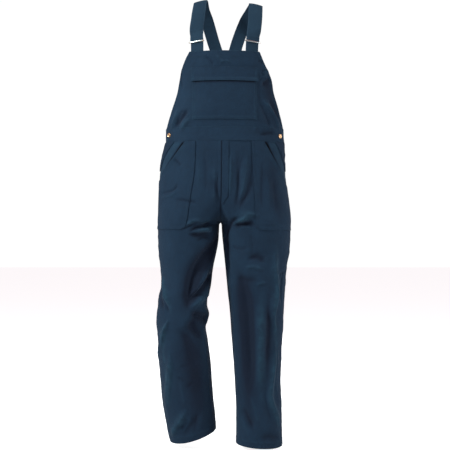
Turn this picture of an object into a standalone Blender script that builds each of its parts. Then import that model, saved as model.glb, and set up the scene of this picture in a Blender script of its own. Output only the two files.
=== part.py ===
"""Bib-and-brace work overalls, filled out as if worn, with no wearer in them.

Metres, +Z up, the front faces -Y, and +X is the wearer's left. The origin lies between the two straps
where they pass over the shoulders. The tables below are in millimetres and degrees.

Every cloth panel is a thin wall lofted between horizontal sections of the garment. A point on a leg is
named by its turn and its height: turn 0 is the side seam, -90 the middle of the front, 180 the inside
of the leg and 90 the middle of the back. A point on the bib or the waistband is named in the same way
on the section of the body, so that -90 is the middle of the front and 90 the middle of the back.
"""
import math
from collections import namedtuple

import bpy
import bmesh
import numpy as np
from mathutils import Vector

MM = 0.001

# ---------------------------------------------------------------- driving dimensions, in millimetres
CLOTH = 1.5  # wall of a single panel
BAND_CLOTH = 2.6  # waistband, two layers of cloth
PATCH_CLOTH = 1.2  # pockets, flap, fly and plackets
STRAP_CLOTH = 2.4  # straps, folded double
SEAM_GAP = 0.3  # between pieces that are sewn edge to edge
PATCH_GAP = 0.9  # from a panel to the patch that lies on it

BIB_TOP = -192.5
BAND_TOP = -450.5
BAND_BOTTOM = -498.3
PANEL_TOP = BAND_BOTTOM - SEAM_GAP
CROTCH = -776.0
RISE_RUN = 230.0  # height over which the two legs' sections merge into one body
RISE_SOFT = 8.0  # rounding of the very bottom of that curve
INSEAM_TURN = 25.0  # how far the inside leg seam sits round towards the front
INSEAM_RUN = 120.0  # height over which it gets there

STRAP_WIDTH = 43.0
STRAP_STEPS = 36
TAB_START = 4.0  # length of the shoulder line at which the tabs begin, inside the bib
TAB_STEPS = 7
TAB_PAST_BUCKLE = 12.0
CROSSING = -252.0  # height at which the straps cross on the back
CROSSING_FLAT = 80.0  # the upper strap is lifted this far to either side of the crossing
CROSSING_RAMP = 60.0  # and comes down over this length
BUCKLE_WIRE = 3.0
BUCKLE_DROP = -157.0  # height of the buckles' front bar at its middle
BUCKLE_TILT = 4.0  # how much higher its inner end is
BUCKLE_CORNER = 2.5
BUCKLE_SLACK = 1.2  # beside the strap
BUTTON_RADIUS = 7.5
BUTTON_PLACES = {"right": (22.5, -474.0), "left": (24.0, -478.0)}  # degrees from the side seam, and height
BUTTON_LEAN = 0.15  # share by which the button looks forward instead of straight out of the cloth
BUTTON_SEAT = 0.35  # how far the button is drawn in, over the hollows between the band's sections
BUTTON_PROFILE = (
    # radius and height, from the raised centre out over the rolled rim to the back
    (0.0, 3.1), (1.2, 3.0), (1.6, 2.1), (4.5, 2.1), (5.3, 2.6), (6.8, 2.7), (7.5, 1.9), (7.1, 0.9),
    (5.5, 0.0), (0.0, 0.0),
)

SIDES = {"right": -1, "left": 1}

# ---------------------------------------------------------------- sections of the garment
Leg = namedtuple("Leg", "z outer inner front back")
LEGS = {
    # This leg is bent a little at the knee.
    "right": (
        Leg(-498.6, -204.5, None, -123, 119),
        Leg(-520, -211.0, None, -125, 122),
        Leg(-560, -219.5, None, -127, 129),
        Leg(-630, -228.0, None, -130, 143),
        Leg(-700, -231.0, None, -131, 150),
        Leg(-776, -231.0, -14.2, -130, 140),
        Leg(-779, -230.9, -18.0, -130, 139),
        Leg(-786, -231.0, -19.2, -130, 137),
        Leg(-818, -231.5, -19.8, -128, 130),
        Leg(-877, -229.0, -28.0, -125, 117),
        Leg(-945, -221.5, -41.0, -121, 102),
        Leg(-975, -219.0, -44.0, -120, 96),
        Leg(-1004, -221.0, -48.5, -119, 89),
        Leg(-1032, -229.0, -58.0, -119, 84),
        Leg(-1060, -230.5, -60.5, -118, 78),
        Leg(-1092, -234.5, -53.5, -116, 74),
        Leg(-1116, -236.0, -59.0, -115, 71),
        Leg(-1138, -235.0, -66.5, -112, 72),
        Leg(-1176, -232.5, -60.5, -106, 74),
        Leg(-1274, -228.0, -48.0, -86, 89),
        Leg(-1375, -220.8, -40.5, -64, 104),
        Leg(-1474, -203.5, -32.0, -48, 115),
        Leg(-1545, -187.0, -29.5, -38, 121),
    ),
    # This leg hangs straight.
    "left": (
        Leg(-498.6, 208.3, None, -123, 119),
        Leg(-520, 209.0, None, -125, 122),
        Leg(-560, 209.7, None, -127, 129),
        Leg(-630, 215.2, None, -130, 143),
        Leg(-700, 223.0, None, -131, 150),
        Leg(-776, 230.5, -13.8, -129, 140),
        Leg(-779, 230.4, -10.5, -129, 139),
        Leg(-786, 230.5, -9.3, -128, 137),
        Leg(-818, 231.0, -8.6, -125, 131),
        Leg(-865, 229.0, -4.0, -119, 121),
        Leg(-940, 216.5, 3.5, -109, 109),
        Leg(-1004, 211.5, 9.5, -102, 101),
        Leg(-1085, 207.0, 18.5, -96, 94),
        Leg(-1162, 203.5, 24.5, -91, 92),
        Leg(-1220, 200.0, 28.5, -87, 93),
        Leg(-1333, 197.5, 35.5, -80, 94),
        Leg(-1435, 201.0, 41.0, -76, 94),
        Leg(-1548, 203.5, 41.5, -73, 93),
    ),
}

# A hem is level at the middle of its leg, and rises by these slopes across and from front to back.
Hem = namedtuple("Hem", "z rise_across rise_back run")
HEMS = {
    "right": Hem(-1522.0, 0.27, 0.14, 200.0),
    "left": Hem(-1549.0, 0.05, 0.03, 200.0),
}

# The body above the legs: half widths to either side, and the depth of the front and of the back.
Body = namedtuple("Body", "z right left front back")
BODY = (
    Body(-498.6, 204.5, 208.3, 123, 119),
    Body(-474, 203.0, 206.0, 122, 117),
    Body(-450, 203.5, 205.0, 122, 116),
    Body(-400, 198.0, 199.0, 124, 118),
    Body(-330, 188.0, 190.0, 125, 123),
    Body(-250, 179.0, 180.0, 120, 128),
    Body(-185, 175.0, 175.0, 114, 122),
)
BIB_EDGE = (
    # height, half width to the wearer's right, and to the left
    (-450.5, 201.5, 203.0),
    (-425, 193.5, 196.5),
    (-375, 176.5, 183.0),
    (-325, 160.5, 168.0),
    (-288, 153.5, 162.5),
    (-262, 149.5, 152.5),
    (-230, 139.0, 137.0),
    (-192.5, 120.0, 120.0),
)
CENTRE_SEAM = (
    # height, x of the centre seam of front and back
    (-498.6, -8.5),
    (-640, -9.5),
    (-776, -14.0),
)

# The line that the straps follow over a shoulder, seen from the side: depth, height, and the way the
# cloth faces, from 0 straight forward through 90 straight up to 180 straight back.
SHOULDER = (
    (-114.5, -225, 0),
    (-114.5, -192, 0),
    (-111.5, -158, 6),
    (-102.0, -110, 17),
    (-83.0, -62, 33),
    (-52.0, -18, 58),
    (-18.0, 8, 80),
    (14.0, 10, 100),
    (50.0, -10, 124),
    (84.0, -52, 146),
    (107.0, -105, 161),
    (120.0, -160, 170),
    (127.5, -230, 176),
    (128.0, -300, 180),
    (123.5, -370, 180),
    (116.0, -450.2, 180),
)
SHOULDER_HALF_WIDTH = 175.0
# Height on the front (f) or back (b) of that line, and where the middle of each strap runs across.
STRAP_PATHS = {
    "right": (
        ("f", -225, -94.5), ("f", -157, -94.3), ("f", -119, -94.8), ("f", -62, -90), ("b", 8, -80),
        ("b", -14, -75.5), ("b", -52, -61.5), ("b", -129, -38.5), ("b", -160, -28), ("b", -255, 1),
        ("b", -360, 34), ("b", -450.2, 62),
    ),
    "left": (
        ("f", -225, 94), ("f", -157, 95.5), ("f", -119, 99.5), ("f", -62, 104.5), ("b", 8, 108.5),
        ("b", -14, 97), ("b", -52, 76), ("b", -129, 45.5), ("b", -160, 36), ("b", -255, 1),
        ("b", -360, -34), ("b", -450.2, -62),
    ),
}
# Above the buckle each strap is turned about its own middle by these degrees, its outer edge forward.
STRAP_TWISTS = {
    "right": (("f", -225, 0), ("f", -136, 0), ("f", -108, 27), ("f", -50, 20), ("b", 8, 3), ("b", -52, 0)),
    "left": (("f", -225, 0), ("f", -136, 0), ("f", -108, 27), ("f", -18, 20), ("b", 8, 15), ("b", -110, 0)),
}

# ---------------------------------------------------------------- patches
BIB_POCKET = dict(left=109.5, right=108.5, bottom=-425.5, top=-262.0)
FLAP = dict(left=111.5, right=111.0, bottom=-295.5, top=-249.0)
FLY_WIDTH = 22.0
FLY_BOTTOM = -712.0
FLY_TIP = 0.35  # share of the width left at the very bottom
FLY_CURVE = 30.0  # height over which the fly narrows to it

HipPocket = namedtuple("HipPocket", "bottom inner slant_top slant_bottom")
HIP_POCKETS = {
    "right": HipPocket(
        bottom=-799.0,
        inner=(
            (-499.6, 97.5), (-594, 101.5), (-697, 117), (-770, 128), (-785, 132), (-794, 139), (-799, 151),
        ),
        slant_top=(-499.6, 134.0),
        slant_bottom=(-631.0, 227.0),
    ),
    "left": HipPocket(
        bottom=-802.0,
        inner=(
            (-499.6, 91.5), (-613, 97.5), (-697, 103), (-772, 106), (-788, 110), (-797, 117), (-802, 129),
        ),
        slant_top=(-499.6, 134.0),
        slant_bottom=(-651.0, 217.0),
    ),
}
PLACKET_TOP_WIDTH = 172.0  # x where its front edge meets the waistband
PLACKET_FOOT_WIDTH = 13.0
PLACKET_BOTTOM = -597.0

# ---------------------------------------------------------------- largest folds
# A ridge has a positive height and a trough a negative one. The spread is how far it reaches to
# either side of its line, which runs through points named by turn and height.
Fold = namedtuple("Fold", "side height spread line")
FOLDS = (
    # right thigh, front: folds that fan out from the crotch to the bent knee
    Fold("right", -4, 9, ((-85, -608), (-99, -666), (-125, -730))),
    Fold("right", 7, 11, ((-84, -797), (-98, -772), (-117, -774), (-130, -750))),
    Fold("right", -9, 10, ((-91, -811), (-106, -794), (-126, -783), (-141, -772))),
    Fold("right", 6, 9, ((-100, -812), (-122, -803), (-145, -800))),
    Fold("right", -6, 10, ((-93, -822), (-117, -820), (-146, -818))),
    Fold("right", -9, 14, ((-147, -832), (-117, -871), (-105, -921), (-98, -978), (-88, -1036))),
    Fold("right", 7, 14, ((-141, -880), (-136, -941), (-114, -986), (-91, -1036))),
    Fold("right", -9, 15, ((-180, -932), (-141, -984), (-115, -1032), (-101, -1061))),
    Fold("right", 7, 12, ((-101, -1070), (-142, -1034), (-178, -1010))),
    Fold("right", -11, 14, ((-105, -1085), (-145, -1100), (-178, -1122))),
    Fold("right", -7, 17, ((-105, -1097), (-124, -1138), (-151, -1176))),
    # right leg, outer side of the knee and below
    Fold("right", -6, 13, ((-2, -975), (-20, -1030), (-48, -1075))),
    Fold("right", 6, 12, ((-20, -966), (-40, -1010), (-62, -1060))),
    Fold("right", 6, 13, ((-65, -1102), (-52, -1135), (-37, -1171), (-1, -1274))),
    Fold("right", -4, 18, ((-88, -1130), (-109, -1192), (-117, -1281))),
    Fold("right", 5, 12, ((-59, -1204), (-55, -1282), (-44, -1346), (-36, -1401), (-35, -1452))),
    Fold("right", 6, 13, ((-88, -1409), (-73, -1441), (-50, -1472), (-30, -1500))),
    Fold("right", -5, 13, ((-112, -1436), (-90, -1470), (-66, -1500))),
    # right leg, back
    Fold("right", -7, 15, ((120, -795), (85, -835), (45, -860))),
    Fold("right", 6, 15, ((125, -835), (90, -880), (50, -905))),
    Fold("right", -8, 14, ((35, -1085), (95, -1108), (150, -1085))),
    Fold("right", 7, 13, ((40, -1115), (95, -1135), (150, -1118))),
    Fold("right", -6, 13, ((50, -1145), (100, -1165), (140, -1150))),
    Fold("right", -5, 17, ((105, -1230), (92, -1330), (85, -1440))),
    Fold("right", 5, 15, ((140, -1230), (125, -1380), (115, -1470))),
    # left leg, front: two long folds from the waistband and a tuck below them
    Fold("left", -5, 12, ((-73, -520), (-84, -660), (-106, -743))),
    Fold("left", 3, 12, ((-72, -560), (-80, -650), (-98, -720))),
    Fold("left", -6, 12, ((-61, -600), (-74, -666), (-91, -710), (-103, -740))),
    Fold("left", 6, 11, ((-125, -774), (-107, -762), (-92, -747), (-80, -760))),
    Fold("left", -8, 10, ((-135, -790), (-110, -783), (-88, -786))),
    Fold("left", -7, 12, ((-121, -766), (-139, -785), (-151, -813), (-155, -880), (-158, -986))),
    Fold("left", 5, 12, ((-59, -825), (-57, -920), (-48, -1000), (-58, -1095), (-47, -1144))),
    Fold("left", 5, 12, ((-45, -1180), (-54, -1296), (-61, -1381), (-40, -1442), (-20, -1499))),
    Fold("left", -6, 12, ((-108, -900), (-89, -890), (-73, -915))),
    Fold("left", -4, 12, ((-136, -971), (-109, -973), (-86, -969))),
    Fold("left", 5, 19, ((-88, -1020), (-84, -1120), (-84, -1211), (-88, -1362))),
    Fold("left", -6, 20, ((-113, -988), (-116, -1108), (-118, -1229), (-126, -1344))),
    Fold("left", -4, 13, ((-68, -1040), (-66, -1143), (-71, -1280))),
    Fold("left", -6, 14, ((-143, -1410), (-122, -1450), (-102, -1482))),
    Fold("left", -6, 13, ((-94, -1516), (-61, -1508), (-30, -1520))),
    # left leg, back
    Fold("left", -7, 15, ((120, -795), (80, -830), (45, -850))),
    Fold("left", 5, 15, ((125, -830), (88, -872), (50, -892))),
    Fold("left", -6, 14, ((50, -1075), (105, -1100), (150, -1080))),
    Fold("left", 5, 14, ((60, -1108), (110, -1130), (145, -1115))),
    Fold("left", -5, 18, ((95, -1190), (102, -1320), (92, -1440))),
    Fold("left", 4, 16, ((130, -1190), (135, -1320), (125, -1440))),
    # bib and waistband
    Fold("body", 5, 11, ((-52, -345), (-37, -387), (-28, -419), (-24, -465))),
    Fold("body", -4, 12, ((-40, -350), (-26, -400), (-18, -440))),
    Fold("body", 4, 9, ((-142, -380), (-151, -439), (-155, -462))),
    Fold("body", -5, 10, ((-128, -385), (-140, -430), (-150, -455))),
    Fold("body", 4, 9, ((-124, -415), (-139, -464))),
    Fold("body", 4, 9, ((-52, -290), (-38, -262), (-32, -250))),
    Fold("body", -4, 10, ((-50, -308), (-36, -290), (-30, -275))),
    Fold("body", -4, 7, ((-56, -478), (-43, -470), (-33, -472))),
)

# ---------------------------------------------------------------- heights of the rows of each leg
LEG_ROWS = (
    -1500, -1450, -1400, -1350, -1300, -1250, -1200, -1165, -1135, -1108, -1080, -1052, -1022, -990, -950,
    -910, -872, -840, -815, -798, -786, -779, CROTCH, -773, -767, -757, -743, -725, -702, -672, -640, -610,
    -580, -550, -522, PANEL_TOP,
)
BIB_ROWS = (
    BAND_TOP + SEAM_GAP, -435, -418, -400, -378, -356, -334, -312, -290, -270, -248, -222, BIB_TOP,
)
BIB_COLUMNS = 18
FRONT_COLUMNS = 18
BACK_COLUMNS = 12
BAND_COLUMNS = {"front": 24, "back": 20}
SLANT_ROWS = 9

Look = namedtuple("Look", "colour roughness metallic")
DRILL = Look((0.020, 0.038, 0.066), 0.85, 0.0)
STRAP_DRILL = Look((0.026, 0.050, 0.082), 0.8, 0.0)
NICKEL = Look((0.78, 0.76, 0.75), 0.3, 1.0)
COPPER = Look((0.60, 0.30, 0.15), 0.35, 1.0)


# ---------------------------------------------------------------- curves and surfaces
def smooth(at, table, column):
    """Reads a column of a table at given heights by a monotone cubic, which never overshoots."""
    rows = sorted((row[0], row[column]) for row in table if row[column] is not None)
    x = np.array([row[0] for row in rows], float)
    y = np.array([row[1] for row in rows], float)
    at = np.clip(np.asarray(at, float), x[0], x[-1])
    step = np.diff(x)
    slope = np.diff(y) / step
    tangent = np.zeros_like(y)
    same_way = slope[:-1] * slope[1:] > 0
    weight_a = 2 * step[1:] + step[:-1]
    weight_b = step[1:] + 2 * step[:-1]
    safe = np.where(same_way, slope[:-1] * slope[1:], 1.0)
    mean = (weight_a + weight_b) * safe / (weight_a * slope[1:] + weight_b * slope[:-1] + (~same_way))
    tangent[1:-1] = np.where(same_way, mean, 0.0)
    tangent[0], tangent[-1] = slope[0], slope[-1]
    i = np.clip(np.searchsorted(x, at) - 1, 0, len(step) - 1)
    u = (at - x[i]) / step[i]
    return (
        (1 + 2 * u) * (1 - u) ** 2 * y[i]
        + u * (1 - u) ** 2 * step[i] * tangent[i]
        + u * u * (3 - 2 * u) * y[i + 1]
        + u * u * (u - 1) * step[i] * tangent[i + 1]
    )


def ease(x):
    """Goes smoothly from 0 to 1 as x does."""
    x = np.clip(x, 0.0, 1.0)
    return x * x * (3 - 2 * x)


def centre_x(z):
    return smooth(z, CENTRE_SEAM, 1)


def leg_section(side, z):
    """Centre and radii of the leg's section: an ellipse that reaches past the centre above the crotch."""
    table = LEGS[side]
    outer = smooth(z, table, 1)
    middle = centre_x(z)
    height = np.maximum(z - CROTCH, 0.0)
    share = np.minimum((np.sqrt(height**2 + RISE_SOFT**2) - RISE_SOFT) / RISE_RUN, 1.0)
    merge = 1 - (1 - share) ** 1.6
    above = middle - (outer - middle) * merge
    below = smooth(z, table, 2)
    inner = np.where(z > CROTCH, above, below)
    front = smooth(z, table, 3)
    back = smooth(z, table, 4)
    return (outer + inner) / 2, np.abs(outer - inner) / 2, (front + back) / 2, (back - front) / 2


def leg_form(side, turn, z):
    """The smooth leg, without folds, in millimetres."""
    cx, rx, cy, ry = leg_section(side, z)
    x = cx + SIDES[side] * rx * np.cos(turn)
    y = cy + ry * np.sin(turn)
    hem = HEMS[side]
    near_hem = ease((hem.z + hem.run - z) / hem.run)
    lift = near_hem * (hem.rise_across * (cx - x) * SIDES[side] + hem.rise_back * (y - cy))
    return np.stack([x, y, z + lift], -1)


def body_form(turn, z):
    """The smooth body above the legs, in millimetres."""
    half = np.where(np.cos(turn) < 0, smooth(z, BODY, 1), smooth(z, BODY, 2))
    depth = np.where(np.sin(turn) < 0, smooth(z, BODY, 3), smooth(z, BODY, 4))
    return np.stack([half * np.cos(turn), depth * np.sin(turn), z + 0.0 * turn], -1)


def body_turn(x, z):
    """The turn of a point of the front whose x is given."""
    half = np.where(x < 0, smooth(z, BODY, 1), smooth(z, BODY, 2))
    return -np.arccos(np.clip(x / half, -1.0, 1.0))


def leg_turn(side, x, z):
    """The turn of a point of the leg's front whose distance from the middle is given."""
    cx, rx, _, _ = leg_section(side, z)
    return -np.arccos(np.clip((SIDES[side] * x - cx) / (SIDES[side] * rx), -1.0, 1.0))


def facing(form, turn, z):
    """Unit normals of a form, pointing out of the garment."""
    across = form(turn + 0.004, z) - form(turn - 0.004, z)
    up = form(turn, z + 0.8) - form(turn, z - 0.8)
    normal = np.cross(across, up)
    size = np.linalg.norm(normal, axis=-1, keepdims=True)
    return normal / np.maximum(size, 1e-9)


def level(normal):
    """The same normals turned level, so that a row keeps its height when it is moved along them."""
    normal = normal * (1.0, 1.0, 0.0)
    return normal / np.linalg.norm(normal, axis=-1, keepdims=True)


def fold_height(side, turn, z):
    """How far the folds push the cloth out or in at each point."""
    total = np.zeros(np.broadcast(turn, z).shape)
    if side == "body":
        radius = 160.0
    else:
        _, rx, _, ry = leg_section(side, z)
        radius = np.sqrt((rx * rx + ry * ry) / 2)
    for fold in FOLDS:
        if fold.side != side:
            continue
        points = [(math.radians(a), b) for a, b in fold.line]
        lengths = [math.hypot((b[0] - a[0]) * 120, b[1] - a[1]) for a, b in zip(points, points[1:])]
        run = sum(lengths)
        best = np.full(total.shape, 1e9)
        share = np.zeros(total.shape)
        start = 0.0
        for (t0, z0), (t1, z1), length in zip(points, points[1:], lengths):
            ax = ((turn - t0 + math.pi) % (2 * math.pi) - math.pi) * radius
            az = z - z0
            bx = (t1 - t0) * radius
            bz = z1 - z0
            along = np.clip((ax * bx + az * bz) / np.maximum(bx * bx + bz * bz, 1e-9), 0, 1)
            distance = np.hypot(ax - along * bx, az - along * bz)
            nearer = distance < best
            best = np.where(nearer, distance, best)
            share = np.where(nearer, (start + along * length) / run, share)
            start += length
        taper = ease(share / 0.3) * ease((1 - share) / 0.3)
        total = total + fold.height * taper * np.exp(-((best / fold.spread) ** 2))
    return total


def leg_surface(side):
    sign = SIDES[side]

    def form(turn, z):
        return leg_form(side, turn, z)

    def surface(turn, z):
        base = form(turn, z)
        from_seam = np.abs(base[..., 0] - centre_x(z))
        free = np.maximum(ease(from_seam / 25.0), ease((CROTCH - 25.0 - z) / 40.0))
        free = free * ease((PANEL_TOP - z) / 25.0)
        push = fold_height(side, turn, z) * free
        normal = facing(form, turn, z) * sign
        return base + normal * push[..., None]

    return surface


def body_surface(turn, z):
    free = ease((z - BAND_BOTTOM) / 20.0)
    push = fold_height("body", turn, z) * free
    return body_form(turn, z) + level(facing(body_form, turn, z)) * push[..., None]


# ---------------------------------------------------------------- making solids
def keep(name, data, look):
    """Puts a mesh or a curve in the collection as an object, with a material of its own."""
    material = bpy.data.materials.new(name)
    material.use_nodes = True
    shader = material.node_tree.nodes["Principled BSDF"]
    shader.inputs["Base Color"].default_value = (*look.colour, 1.0)
    shader.inputs["Roughness"].default_value = look.roughness
    shader.inputs["Metallic"].default_value = look.metallic
    material.diffuse_color = (*look.colour, 1.0)
    data.materials.append(material)
    item = bpy.data.objects.new(name, data)
    COLLECTION.objects.link(item)
    return item


def wall(name, outer, inner, look=DRILL):
    """A closed wall between two grids of points, given as rows by columns in millimetres."""
    rows, columns = outer.shape[:2]
    mesh = bpy.data.meshes.new(name)
    grid = bmesh.new()
    near = [[grid.verts.new(outer[i, j] * MM) for j in range(columns)] for i in range(rows)]
    far = [[grid.verts.new(inner[i, j] * MM) for j in range(columns)] for i in range(rows)]
    for i in range(rows - 1):
        for j in range(columns - 1):
            grid.faces.new((near[i][j], near[i][j + 1], near[i + 1][j + 1], near[i + 1][j]))
            grid.faces.new((far[i][j], far[i + 1][j], far[i + 1][j + 1], far[i][j + 1]))
    rim = (
        [(0, j) for j in range(columns)]
        + [(i, columns - 1) for i in range(1, rows)]
        + [(rows - 1, j) for j in range(columns - 2, -1, -1)]
        + [(i, 0) for i in range(rows - 2, 0, -1)]
    )
    for (a, b), (c, d) in zip(rim, rim[1:] + rim[:1]):
        grid.faces.new((near[c][d], near[a][b], far[a][b], far[c][d]))
    bmesh.ops.remove_doubles(grid, verts=grid.verts, dist=0.00002)
    bmesh.ops.recalc_face_normals(grid, faces=grid.faces)
    grid.to_mesh(mesh)
    grid.free()
    mesh.shade_smooth()
    mesh.set_sharp_from_angle(angle=math.radians(40))
    return keep(name, mesh, look)


def body_sheet(name, turn, z, lift, thickness):
    """A wall on the body: its inner side is lifted off the body's surface, and it is this thick."""
    normal = level(facing(body_surface, turn, z))
    base = body_surface(turn, z)
    wall(name, base + normal * (lift + thickness), base + normal * lift)


# ---------------------------------------------------------------- legs
def grid_between(left, right, z, columns):
    share = np.linspace(0.0, 1.0, columns + 1)
    turn = left[:, None] + (right - left)[:, None] * share[None, :]
    return turn, np.repeat(z[:, None], columns + 1, axis=1)


def row_heights(side):
    hem = HEMS[side].z
    return np.array([hem] + [z for z in LEG_ROWS if z > hem + 15.0], float)


def leg_turns(side, half, z):
    """The columns of a leg panel at each height, from its inner seam to the side seam."""
    sign = SIDES[side]
    cx, rx, _, ry = leg_section(side, z)
    gap = SEAM_GAP / 2
    reach = np.clip((centre_x(z) + sign * gap - cx) / (sign * rx), -1.0, 1.0)
    joined = z > CROTCH + 1.0
    inseam = math.radians(INSEAM_TURN) * ease((CROTCH - z) / INSEAM_RUN)
    if half == "front":
        inner = np.where(joined, -np.arccos(reach), -math.pi + inseam + gap / ry)
        outer = -gap / ry
        columns = FRONT_COLUMNS
    else:
        inner = np.where(joined, np.arccos(reach), math.pi + inseam - gap / ry)
        outer = gap / ry
        columns = BACK_COLUMNS
    return grid_between(inner, outer, z, columns)


def leg_panel(side, half):
    """The front or back panel of one leg, from the hem up to the waistband."""
    sign = SIDES[side]
    z = row_heights(side)
    joined = z > CROTCH + 1.0
    turn, zz = leg_turns(side, half, z)
    surface = leg_surface(side)
    normal = facing(surface, turn, zz) * sign
    seam = normal[:, 0]
    seam[:, 0] = np.where(joined, sign * np.minimum(seam[:, 0] * sign, 0.0), seam[:, 0])
    seam /= np.linalg.norm(seam, axis=-1, keepdims=True)
    outer = surface(turn, zz)
    outer[joined, 0, 0] = centre_x(z[joined]) + sign * SEAM_GAP / 2
    inner = outer - normal * CLOTH
    wall(f"leg_{half}_{side}", outer, inner)


# ---------------------------------------------------------------- bib and waistband
def rows_between(rows, low, high, *extra):
    """A panel's own rows between two heights, so that a patch follows the facets beneath it."""
    return np.array(sorted({low, high, *extra} | {z for z in rows if low + 4 < z < high - 4}), float)


def patch_turns(turn, first, last):
    """The columns beneath a patch, drawn in to its two edges; those outside it fall together."""
    turn = np.clip(turn, first[:, None], last[:, None])
    begin = max(0, int((turn == first[:, None]).sum(axis=1).min()) - 1)
    end = turn.shape[1] - max(0, int((turn == last[:, None]).sum(axis=1).min()) - 1)
    return turn[:, begin:end]


def bib_turns(z):
    """The bib's columns at each height, between its two edges."""
    right = body_turn(-smooth(z, BIB_EDGE, 1), z)
    left = body_turn(smooth(z, BIB_EDGE, 2), z)
    return grid_between(right, left, z, BIB_COLUMNS)


def make_bib():
    turn, zz = bib_turns(np.array(BIB_ROWS))
    body_sheet("bib_front", turn, zz, -CLOTH, CLOTH)
    lift = PATCH_GAP
    for name, patch in (("bib_pocket", BIB_POCKET), ("bib_pocket_flap", FLAP)):
        low, high = patch["bottom"], patch["top"]
        z = rows_between(BIB_ROWS, low, high)
        turn, zz = bib_turns(z)
        turn = patch_turns(turn, body_turn(-patch["right"], z), body_turn(patch["left"], z))
        body_sheet(name, turn, zz[:, : turn.shape[1]], lift, PATCH_CLOTH)
        lift += PATCH_CLOTH + PATCH_GAP


def make_waistband():
    z = np.linspace(BAND_BOTTOM, BAND_TOP, 3)
    gap = SEAM_GAP / 2 / smooth(z, BODY, 3)
    for half, first, last in (("front", -math.pi + gap, -gap), ("back", gap, math.pi - gap)):
        turn, zz = grid_between(first, last, z, BAND_COLUMNS[half])
        body_sheet(f"waistband_{half}", turn, zz, -CLOTH, BAND_CLOTH)


# ---------------------------------------------------------------- patches on the legs
def leg_patch(name, side, z, first, last):
    turn, zz = leg_turns(side, "front", z)
    turn = patch_turns(turn, first, last)
    zz = zz[:, : turn.shape[1]]
    surface = leg_surface(side)
    normal = facing(surface, turn, zz) * SIDES[side]
    base = surface(turn, zz)
    wall(name, base + normal * (PATCH_GAP + PATCH_CLOTH), base + normal * PATCH_GAP)


def make_hip_pocket(side):
    pocket = HIP_POCKETS[side]
    top_z, top_x = pocket.slant_top
    low_z, low_x = pocket.slant_bottom
    slant_z = np.linspace(low_z, top_z, 200)
    slant_turn = leg_turn(side, np.linspace(low_x, top_x, 200), slant_z)
    even_turns = np.linspace(slant_turn[0], slant_turn[-1], SLANT_ROWS)
    slant_rows = np.interp(-even_turns, -slant_turn, slant_z)
    z = np.concatenate([rows_between(LEG_ROWS, pocket.bottom, low_z, pocket.bottom + 5), slant_rows[1:]])
    inner = leg_turn(side, smooth(z, pocket.inner, 1), z)
    outer = np.where(z > low_z + 0.1, np.interp(z, slant_z, slant_turn), 0.0)
    leg_patch(f"hip_pocket_{side}", side, z, inner, np.minimum(outer, side_seam(side, z)))


def side_seam(side, z):
    """The turn of the outer edge of a patch that ends at the side seam."""
    return -PATCH_GAP / leg_section(side, z)[3]


def make_placket(side):
    """The underlap of the side opening: its front edge slants back to the side seam at its foot."""
    z = rows_between(LEG_ROWS, PLACKET_BOTTOM, PANEL_TOP - 1.0)
    share = (z - z[0]) / (z[-1] - z[0])
    foot = -PLACKET_FOOT_WIDTH / leg_section(side, z[0])[3]
    top = leg_turn(side, PLACKET_TOP_WIDTH, z[-1])
    leg_patch(f"side_placket_{side}", side, z, foot + (top - foot) * share, side_seam(side, z))


def make_fly():
    z = rows_between(LEG_ROWS, FLY_BOTTOM, PANEL_TOP - 1.0)
    start = centre_x(z) + 1.0
    width = FLY_WIDTH * (FLY_TIP + (1 - FLY_TIP) * ease((z - FLY_BOTTOM) / FLY_CURVE))
    leg_patch("fly_flap", "left", z, leg_turn("left", start, z), leg_turn("left", start + width, z))


# ---------------------------------------------------------------- straps, buckles and buttons
def shoulder_line():
    """The straps' side view: length along it, depth, height and facing at each of its points."""
    table = np.array(SHOULDER, float)
    step = np.hypot(np.diff(table[:, 0]), np.diff(table[:, 1]))
    length = np.concatenate([[0.0], np.cumsum(step)])
    return [(length[i], *table[i]) for i in range(len(length))]


LINE = shoulder_line()


def line_length(part, z):
    """Length along the shoulder line at a height on its front or its back."""
    top = max(range(len(LINE)), key=lambda i: LINE[i][2])
    rows = LINE[: top + 1] if part == "f" else LINE[top:]
    table = sorted((row[2], row[0]) for row in rows)
    return float(np.interp(z, [row[0] for row in table], [row[1] for row in table]))


def shoulder_surface(length, x):
    """A point of the straps' surface: the shoulder line, falling away to either side like a shoulder."""
    depth = smooth(length, LINE, 1)
    height = smooth(length, LINE, 2)
    lean = np.radians(smooth(length, LINE, 3))
    drop = 114.5 * (1 - np.sqrt(1 - (x / SHOULDER_HALF_WIDTH) ** 2))
    return np.stack([x, depth + np.cos(lean) * drop, height - np.sin(lean) * drop], -1)


def along_strap(table, length):
    """Reads a table of places on the shoulder line at given lengths of it."""
    return smooth(length, [(line_length(part, z), value) for part, z, value in table], 1)


def strap_middle(side, length):
    """How far across the middle of a strap lies at a length of the shoulder line."""
    return along_strap(STRAP_PATHS[side], length)


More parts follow.
